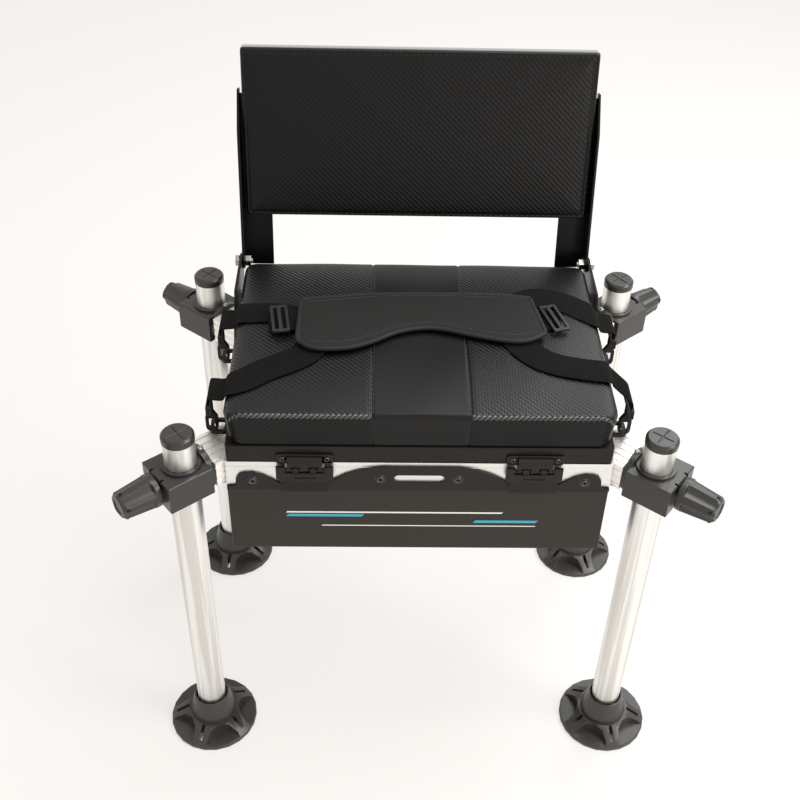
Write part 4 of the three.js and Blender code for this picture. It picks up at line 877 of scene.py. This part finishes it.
def pad_stitch_lines(rear, front):
    """Lines of the stitches beside the pad's long edges."""
    lines = []
    for s in (0.09, 0.91):
        inner = range(4, PAD_ALONG - 4)
        line = [(*(front[i] * (1 - s) + rear[i] * s), pad_height(i / (PAD_ALONG - 1), s)) for i in inner]
        lines.append([(x, y + SEAT_Y, z + 0.2 * MM) for x, y, z in line])
    return lines


# Backrest pad, in the frame of its fold joint
BACK_HALF = 210.3 * MM
BACK_FOOT = 59.5 * MM
BACK_TOP = BACK_FOOT + 203 * MM
BACK_CORNER = 4 * MM
# Depth and inset in millimetres, from the back round the edge and its seam to the middle of the face
BACK_STATIONS = (
    (19.6, 7), (19.6, 2.2), (19.306, 1), (18.424, 0.3), (16.856, 0), (15.68, 0), (6.272, 0), (5.096, 0.1),
    (3.528, 0.5), (1.96, 1.2), (0.98, 2.4), (0.588, 3.6), (1.47, 4.5), (0.294, 5.6), (-0.4, 9), (-0.9, 18),
    (-1.4, 30), (-1.8, 48), (-2.1, 70), (-2.2, 92),
)
# The border with the painted reflection ends at the first of these rings and the plain one at the second,
# along the top edge
REFLECTION_PAINTED_RINGS, PLAIN_RINGS = 8, 12
TOP_BORDER = 4.6 * MM


def rounded_outline(half, low, high, corner, steps=7):
    """Outline of an upright board with rounded corners."""
    line = []
    for x, z, first in ((half, low, -90), (half, high, 0), (-half, high, 90), (-half, low, 180)):
        centre_x = x - math.copysign(corner, x)
        centre_z = z + corner if z == low else z - corner
        for i in range(steps + 1):
            angle = math.radians(first + 90 * i / steps)
            line.append((centre_x + corner * math.cos(angle), centre_z + corner * math.sin(angle)))
    return line


def backrest_cushion():
    """Boxed foam slab under twill vinyl: crisp edges, a plain top border whose upper rings carry a painted
    reflection, and a slightly full face.
    """
    places = []
    for depth, inset in BACK_STATIONS:
        depth, inset = depth * MM, inset * MM
        corner = max(BACK_CORNER - inset * 0.3, 1.2 * MM)
        outline = rounded_outline(BACK_HALF - inset, BACK_FOOT + inset, BACK_TOP - inset, corner)
        places += [(x, depth, z) for x, z in outline]
    count = len(outline)
    faces = skin(len(BACK_STATIONS), count)
    makers = []
    for face in faces[:-2]:
        ring = face[0] // count
        topmost = ring < PLAIN_RINGS and min(places[face[0]][2], places[face[1]][2]) > BACK_TOP - TOP_BORDER
        # Upper rings of the top border get the painted reflection, the lower ones plain vinyl
        border = painted_reflection_vinyl if ring < REFLECTION_PAINTED_RINGS else plain_vinyl
        makers.append(border if topmost else stretched_twill)
    makers += [stretched_twill] * 2
    weave = [(places[i][0], places[i][2] - places[i][1] * 0.5) for face in faces for i in face]
    points = [BACK_FRAME @ Vector(place) for place in places]
    piece = mesh_piece("backrest_cushion_cover", points, faces, makers, "backrest", weave)
    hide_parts("backrest_pad")


# Small fasteners and the knobs' screw-hole discs of painted shade, with their turned outlines as radius and
# height in millimetres
FLANGE_SCREW = ((0.02, -1), (3.2, -1), (3.3, 0.7), (2.9, 1.5), (2, 2), (1.2, 2.1), (1.1, 1.4), (0.02, 1.3))
FLANGE_SCREW_ANGLE = math.radians(38.5)
FLANGE_SCREW_CIRCLE = 25.5 * MM
# Black disc in a raised lip: painted shade standing for a screw hole in a knob's lobe end
HOLE_SHADE_DISC = ((1.9, -1.3), (1.9, 0.0), (1.75, 0.12), (1.4, 0.12), (1.3, 0.02), (0.02, 0.0))
HOLE_SHADE_BACK = 0.3 * MM
HOLE_SHADE_TILT = math.radians(24)
# Head radii of the front screws, and a screw's rim and the pressed ring round it as shares of them
PLATE_SCREW, LATCH_SCREW = 3.9, 3.1
SCREW_RIM = ((1.04, -0.2), (1.06, 0.7), (0.96, 1.4), (0.82, 1.75), (0.68, 1.85), (0.58, 1.75), (0.56, 1.3))
PRESSED_RING = ((1.5, -0.2), (1.5, 0.25), (1.42, 0.5), (1.3, 0.5), (1.2, 0.2), (1.18, -0.2))


def flange_screw(name, side, end):
    """Bright pan-head screw on the upper rim of a clamp's round flange."""
    low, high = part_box(f"leg_tube_{name}")
    x = (low.x + high.x) / 2 - side * math.cos(FLANGE_SCREW_ANGLE) * FLANGE_SCREW_CIRCLE
    y = (low.y + high.y) / 2 - end * math.sin(FLANGE_SCREW_ANGLE) * FLANGE_SCREW_CIRCLE
    centre = (x, y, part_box(f"clamp_block_{name}")[1].z)
    shapes = [(centre, (RIGHT, REAR, UP), FLANGE_SCREW)]
    turned_piece(f"flange_screw_{name}", shapes, zinc_plate, "frame", 20)


def knob_hole_shade_discs(name):
    """Small black discs in raised lips at the outer ends of a knob's lobes: painted shade standing for the
    holes where its moulding was screwed together.
    """
    joint = JOINTS[f"knob_{name}_turn"]
    axis = Vector(joint["axis"]).normalized()
    start = Vector(joint["pos_m"])
    levels = {}
    for vertex in NODES[f"clamp_knob_{name}"].data.vertices:
        along = (vertex.co - start).dot(axis)
        levels.setdefault(round(along, 4), []).append(vertex.co - start - axis * along)
    # The knob's outer shoulder is the third level of its points from the end
    shoulder = sorted(levels)[-3]
    widest = max(out.length for out in levels[shoulder])
    lobes = []
    for out in levels[shoulder]:
        if out.length > widest - 0.1 * MM and all((out - other).length > MM for other in lobes):
            lobes.append(out)
    shapes = []
    for outward in [out.normalized() for out in lobes]:
        down = axis * math.cos(HOLE_SHADE_TILT) - outward * math.sin(HOLE_SHADE_TILT)
        normal = outward * math.cos(HOLE_SHADE_TILT) + axis * math.sin(HOLE_SHADE_TILT)
        centre = start + axis * (shoulder - HOLE_SHADE_BACK) + outward * widest
        shapes.append((centre, (outward.cross(axis), down, normal), HOLE_SHADE_DISC))
    # The gloss black finish paints the screw holes' shade
    turned_piece(f"knob_hole_shade_discs_{name}", shapes, black_gloss_steel, f"knob_{name}", 14)


def screw_rings(name, body, radius, places, outlines):
    """Rounded rims of pan-head screws that face the front, round the CAD heads' sockets."""
    profiles = [[(share * radius, proud) for share, proud in outline] for outline in outlines]
    shapes = [(place, (RIGHT, UP, FRONT), profile) for place in places for profile in profiles]
    turned_piece(name, shapes, black_zinc, body, 24, loop=True)


# Places of the screws: out from the middle and up from the rail's foot, or down from a latch plate's top
PLATE_SCREWS = ((43 * MM, 12 * MM), (184.5 * MM, 8.5 * MM))
LATCH_SCREW_OUT, LATCH_SCREW_DOWN = 24.5 * MM, 5.85 * MM


def front_screws():
    """Screw rims on the front plate and on both latch plates."""
    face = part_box("front_plate")[0].y + 1.6 * MM
    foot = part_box("front_rail")[0].z
    places = [(side * out, face, foot + up) for side in (-1, 1) for out, up in PLATE_SCREWS]
    screw_rings("front_plate_screws", "frame", PLATE_SCREW, places, (SCREW_RIM, PRESSED_RING))
    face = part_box("lid_base")[0].y - 2.8 * MM
    for name in ("left", "right"):
        low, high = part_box(f"latch_plate_{name}")
        middle, z = (low.x + high.x) / 2, high.z - LATCH_SCREW_DOWN
        places = [(middle + side * LATCH_SCREW_OUT, face, z) for side in (-1, 1)]
        screw_rings(f"latch_screws_{name}", "seat_top", LATCH_SCREW, places, (SCREW_RIM,))


# Printed stripes: ends, height over the panel's middle and width, in millimetres
STRIPES = (
    ("white", white_ink, -150, 96, 12.0, 2.2),
    ("white", white_ink, -110, 136, -9.0, 1.4),
    ("accent", accent_ink, -150, -64, 6.0, 4.0),
    ("accent", accent_ink, 64, 136, -3.0, 4.0),
)
STRIPE_LEAN = 3 * MM / 4


def panel_stripes():
    """Plain printed stripes in white and a second colour along the front panel."""
    low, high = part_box("front_panel")
    middle = low.z + (high.z - low.z) * 0.45
    for number, (colour, maker, left, right, lift, height) in enumerate(STRIPES):
        outline = []
        for x, top in ((left, 0), (right, 0), (right, 1), (left, 1)):
            z = middle + lift * MM + top * height * MM
            outline.append((x * MM + STRIPE_LEAN * top * height, z))
        points = [(x, y, z) for y in (low.y - 0.08 * MM, low.y + 0.2 * MM) for x, z in outline]
        faces = [(0, 1, 2, 3), (7, 6, 5, 4), (0, 4, 5, 1), (1, 5, 6, 2), (2, 6, 7, 3), (3, 7, 4, 0)]
        piece = mesh_piece(f"panel_stripe_{colour}_{number}", points, faces, maker, "frame")
        piece.data.polygons.foreach_set("use_smooth", [False] * len(faces))


# Softened edges of the CAD pieces in millimetres, by the start of a node's name
EDGE_WIDTHS = {
    "clamp_block": 1.1, "clamp_knob": 0.8, "leg_cap": 0.5, "mud_foot": 0.8, "corner_arm": 0.35,
    "leg_tube": 0.2, "latch": 0.5, "front_plate": 0.5, "front_panel": 0.5, "lid_base": 0.6,
    "box_body": 0.8, "backrest": 0.5, "strap_hook": 0.6,
}
OTHER_EDGE = 0.3


def dress(prefixes, maker):
    """Gives CAD nodes a finish and softens their edges without moving their points."""
    found = [name for name in sorted(NODES) if name.startswith(prefixes)]
    if not found:
        raise RuntimeError(f"no node starts with {prefixes}")
    for name in found:
        node = NODES[name]
        for material_slot in node.material_slots:
            material_slot.material = finish(maker)
        node.data.polygons.foreach_set("use_smooth", [True] * len(node.data.polygons))
        width = next((w for start, w in EDGE_WIDTHS.items() if name.startswith(start)), OTHER_EDGE)
        for label, kind, settings in (
            ("closed_skin", "WELD", dict(merge_threshold=0.01 * MM)),
            ("flat_faces", "DECIMATE", dict(decimate_type="DISSOLVE", angle_limit=math.radians(0.6))),
            ("soft_edges", "BEVEL", dict(
                width=width * MM, segments=2, limit_method="ANGLE", angle_limit=math.radians(38),
            )),
            ("even_shading", "WEIGHTED_NORMAL", dict(keep_sharp=True)),
        ):
            modifier = node.modifiers.new(label, kind)
            for setting, value in settings.items():
                setattr(modifier, setting, value)


# Stage
FLOOR_GLOW = 0.66
FLOOR_HALF = 8.0
WORLD_LIGHT = 0.6
# Square lamps: place, aim, size, power and colour
SOFTBOXES = {
    "overhead_softbox": ((0.6, 0.3, 2.5), (0, 0, 0.5), 1.2, 24, "#fdfeff"),
    "side_softbox": ((2.0, -0.7, 2.1), (0, 0, 0.45), 1.2, 36, "#fffdfa"),
    "rear_softbox": ((1.2, 1.5, 2.0), (0, 0, 0.5), 1.0, 14, "#fbfdff"),
    "low_front_softbox": ((1.3, -2.5, 0.85), (0.2, 0.1, 0.7), 0.6, 13, "#fff6ea"),
}
# The photograph's camera, worked out from the box's own sizes, with angles in radians
CAMERA_PLACE = (-0.05377, -1.08751, 1.34121)
CAMERA_PITCH, CAMERA_YAW, CAMERA_ROLL = 0.70069, 0.03209, 0.02973
CAMERA_SENSOR = 36
FOCAL_PIXELS, FRAME_PIXELS = 1160.8, 800


def seen_directly(tree):
    """One where the camera, a reflection or a view through glass sees the stage, else zero."""
    rays = add(tree, "ShaderNodeLightPath").outputs
    seen = rays["Is Camera Ray"]
    for other in ("Is Glossy Ray", "Is Transmission Ray"):
        seen = add(tree, "ShaderNodeMath", {0: seen, 1: rays[other]}, operation="MAXIMUM").outputs[0]
    return seen


def pale_floor():
    """Matt white paper, seen at nearly full white with the object's shadow still on it."""
    mesh = bpy.data.meshes.new("studio_floor")
    corners = [(x * FLOOR_HALF, y * FLOOR_HALF, 0) for x, y in ((-1, -1), (1, -1), (1, 1), (-1, 1))]
    mesh.from_pydata(corners, [], [(0, 1, 2, 3)])
    floor = bpy.data.objects.new("studio_floor", mesh)
    bpy.context.scene.collection.objects.link(floor)
    colour = linear("#faf8f5")
    material, tree, shader = start_finish("matt_white_paper", colour, 0.9, Specular_IOR_Level=0.1)
    add_grain(tree, shader, colour, 2000, tone=(0.985, 1.0))
    glow = add(tree, "ShaderNodeEmission", {"Color": shaded(linear("#fdfaf7"), 1.0), "Strength": 1.0})
    share = add(tree, "ShaderNodeMapRange", {"Value": seen_directly(tree), "To Max": FLOOR_GLOW})
    blend = add(tree, "ShaderNodeMixShader", {
        0: share.outputs["Result"], 1: shader.outputs[0], 2: glow.outputs[0],
    })
    tree.links.new(blend.outputs[0], tree.nodes["Material Output"].inputs["Surface"])
    mesh.materials.append(material)


def white_world():
    """White where the camera and reflections see it, a softer level where it lights the object."""
    world = bpy.data.worlds.new("studio_world")
    bpy.context.scene.world = world
    world.use_nodes = True
    tree = world.node_tree
    background = tree.nodes["Background"]
    background.inputs["Color"].default_value = (*linear("#fdfbf8"), 1)
    level = {"Value": seen_directly(tree), "To Min": WORLD_LIGHT, "To Max": 1.0}
    strength = add(tree, "ShaderNodeMapRange", level)
    tree.links.new(strength.outputs["Result"], background.inputs["Strength"])


def softbox(name, place, aim, size, power, colour):
    """A square lamp that points from its place at its aim."""
    lamp = bpy.data.lights.new(name, "AREA")
    lamp.shape = "SQUARE"
    lamp.size = size
    lamp.energy = power
    lamp.color = linear(colour)
    box = bpy.data.objects.new(name, lamp)
    box.location = place
    box.rotation_mode = "QUATERNION"
    box.rotation_quaternion = (Vector(aim) - Vector(place)).to_track_quat("-Z", "Y")
    bpy.context.scene.collection.objects.link(box)


def photo_camera():
    """Camera at the photograph's place, with its turn and focal length."""
    level, yaw = math.cos(CAMERA_PITCH), CAMERA_YAW
    forward = Vector((math.sin(yaw) * level, math.cos(yaw) * level, -math.sin(CAMERA_PITCH)))
    right = Vector((math.cos(yaw), -math.sin(yaw), 0))
    up = right.cross(forward)
    rolled_right = right * math.cos(CAMERA_ROLL) + up * math.sin(CAMERA_ROLL)
    rolled_up = up * math.cos(CAMERA_ROLL) - right * math.sin(CAMERA_ROLL)
    camera = bpy.data.objects.new("photo_camera", bpy.data.cameras.new("photo_camera"))
    camera.data.sensor_width = CAMERA_SENSOR
    camera.data.lens = FOCAL_PIXELS / FRAME_PIXELS * CAMERA_SENSOR
    turn = Matrix((rolled_right, rolled_up, -forward)).transposed()
    camera.matrix_world = Matrix.Translation(CAMERA_PLACE) @ turn.to_4x4()
    bpy.context.scene.collection.objects.link(camera)
    bpy.context.scene.camera = camera
    bpy.context.scene.view_settings.view_transform = "Standard"


# Operators, one for each group of pieces
class SEATBOX_OT_stage(bpy.types.Operator):
    """Set the floor, world, lamps and camera"""

    bl_idname = "seatbox.stage"
    bl_label = "Stage"

    def execute(self, context):
        pale_floor()
        white_world()
        for name, settings in SOFTBOXES.items():
            softbox(name, *settings)
        photo_camera()
        return {"FINISHED"}


class SEATBOX_OT_rail_frame(bpy.types.Operator):
    """Finish the rails and corner arms"""

    bl_idname = "seatbox.rail_frame"
    bl_label = "Rail frame"

    def execute(self, context):
        dress(("front_rail", "rear_rail", "left_rail", "right_rail"), anodised_rail)
        dress(("corner_arm",), satin_arm)
        return {"FINISHED"}


class SEATBOX_OT_clamps(bpy.types.Operator):
    """Finish the clamp blocks and knobs and add their screws and the black discs that paint shade into the
    knobs' screw holes
    """

    bl_idname = "seatbox.clamps"
    bl_label = "Clamps and knobs"

    def execute(self, context):
        dress(("clamp_block", "clamp_knob"), glass_filled_nylon)
        for name, (side, end) in CORNERS.items():
            flange_screw(name, side, end)
            knob_hole_shade_discs(name)
        return {"FINISHED"}


class SEATBOX_OT_legs(bpy.types.Operator):
    """Finish the legs, caps, balls and mud feet"""

    bl_idname = "seatbox.legs"
    bl_label = "Legs and feet"

    def execute(self, context):
        dress(("leg_tube",), anodised_tube)
        dress(("leg_cap", "foot_ball"), glass_filled_nylon)
        dress(("mud_foot",), moulded_rubber)
        return {"FINISHED"}


class SEATBOX_OT_box(bpy.types.Operator):
    """Finish the box body, lid base, front panel and plate, and add the stripes and screw rims"""

    bl_idname = "seatbox.box"
    bl_label = "Box and front panel"

    def execute(self, context):
        dress(("box_body", "lid_base"), moulded_polypropylene)
        dress(("front_panel",), lacquered_panel)
        dress(("front_plate",), powder_coated_steel)
        panel_stripes()
        front_screws()
        return {"FINISHED"}


class SEATBOX_OT_fittings(bpy.types.Operator):
    """Finish the latches, hinges, brackets, bolts and strap hooks"""

    bl_idname = "seatbox.fittings"
    bl_label = "Latches, hinges and brackets"

    def execute(self, context):
        dress(("latch_", "strap_hook"), powder_coated_steel)
        dress(("backrest_bracket", "backrest_plate"), black_gloss_steel)
        dress(("hinge_", "backrest_bolt"), zinc_plate)
        return {"FINISHED"}


class SEATBOX_OT_cushion(bpy.types.Operator):
    """Build the seat cushion with its piping and seams"""

    bl_idname = "seatbox.cushion"
    bl_label = "Seat cushion"

    def execute(self, context):
        seat_cushion()
        for side, name in ((-1, "left"), (1, "right")):
            twisted_piping(f"cushion_piping_{name}", piping_path(side))
        stitches("cushion_seam_stitches", seam_lines())
        return {"FINISHED"}


class SEATBOX_OT_backrest(bpy.types.Operator):
    """Build the padded backrest"""

    bl_idname = "seatbox.backrest"
    bl_label = "Backrest"

    def execute(self, context):
        backrest_cushion()
        return {"FINISHED"}


class SEATBOX_OT_strap(bpy.types.Operator):
    """Build the carrying strap with its shoulder pad, webbing and buckles"""

    bl_idname = "seatbox.strap"
    bl_label = "Carrying strap"

    def execute(self, context):
        rear, front = pad_edges()
        pad_piece(rear, front)
        pad_binding("front", front)
        pad_binding("rear", rear)
        pad_binding("left", np.linspace(front[0], rear[0], 12))
        pad_binding("right", np.linspace(front[-1], rear[-1], 12))
        stitches("shoulder_pad_stitches", pad_stitch_lines(rear, front))
        for name, shares in WEB_ROUTES.items():
            middle = [(x, y, laid(x, y)) for x, y in route(shares)]
            ends = hanging(f"rear_{name}", True), hanging(f"front_{name}", False)
            piece = ribbon(f"webbing_{name}", ends[0] + middle + ends[1])
            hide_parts(f"strap_webbing_{name}")
        for name, (lift, tab) in PAD_TABS.items():
            places = [(x * MM, y * MM) for x, y in tab]
            stations = [(x, y, PAD_MIDDLE) for x, y in places[:2]]
            stations += [(x, y, laid(x, y, lift * MM)) for x, y in places[2:]]
            ribbon(f"pad_tab_{name}", stations)
        dress(("strap_buckle",), acetal)
        return {"FINISHED"}


PIECES = (
    SEATBOX_OT_stage, SEATBOX_OT_rail_frame, SEATBOX_OT_clamps, SEATBOX_OT_legs, SEATBOX_OT_box,
    SEATBOX_OT_fittings, SEATBOX_OT_cushion, SEATBOX_OT_backrest, SEATBOX_OT_strap,
)


class SEATBOX_PT_pieces(bpy.types.Panel):
    """Pieces of the seat box, with their sizes and colours"""

    bl_label = "Seat Box"
    bl_space_type = "VIEW_3D"
    bl_region_type = "UI"
    bl_category = "Seat Box"

    def draw(self, context):
        for piece in PIECES:
            self.layout.operator(piece.bl_idname)
        for group in (context.scene.seat_box_sizes, context.scene.seat_box_colours):
            for name in group.__annotations__:
                self.layout.prop(group, name)


CLASSES = (SeatBoxColours, SeatBoxSizes, *PIECES, SEATBOX_PT_pieces)


def register():
    for item in CLASSES:
        bpy.utils.register_class(item)
    bpy.types.Scene.seat_box_colours = bpy.props.PointerProperty(type=SeatBoxColours)
    bpy.types.Scene.seat_box_sizes = bpy.props.PointerProperty(type=SeatBoxSizes)


def unregister():
    del bpy.types.Scene.seat_box_sizes
    del bpy.types.Scene.seat_box_colours
    for item in reversed(CLASSES):
        bpy.utils.unregister_class(item)


def main():
    register()
    for piece in PIECES:
        group, name = piece.bl_idname.split(".")
        getattr(getattr(bpy.ops, group), name)()


if __name__ == "__main__":
    main()
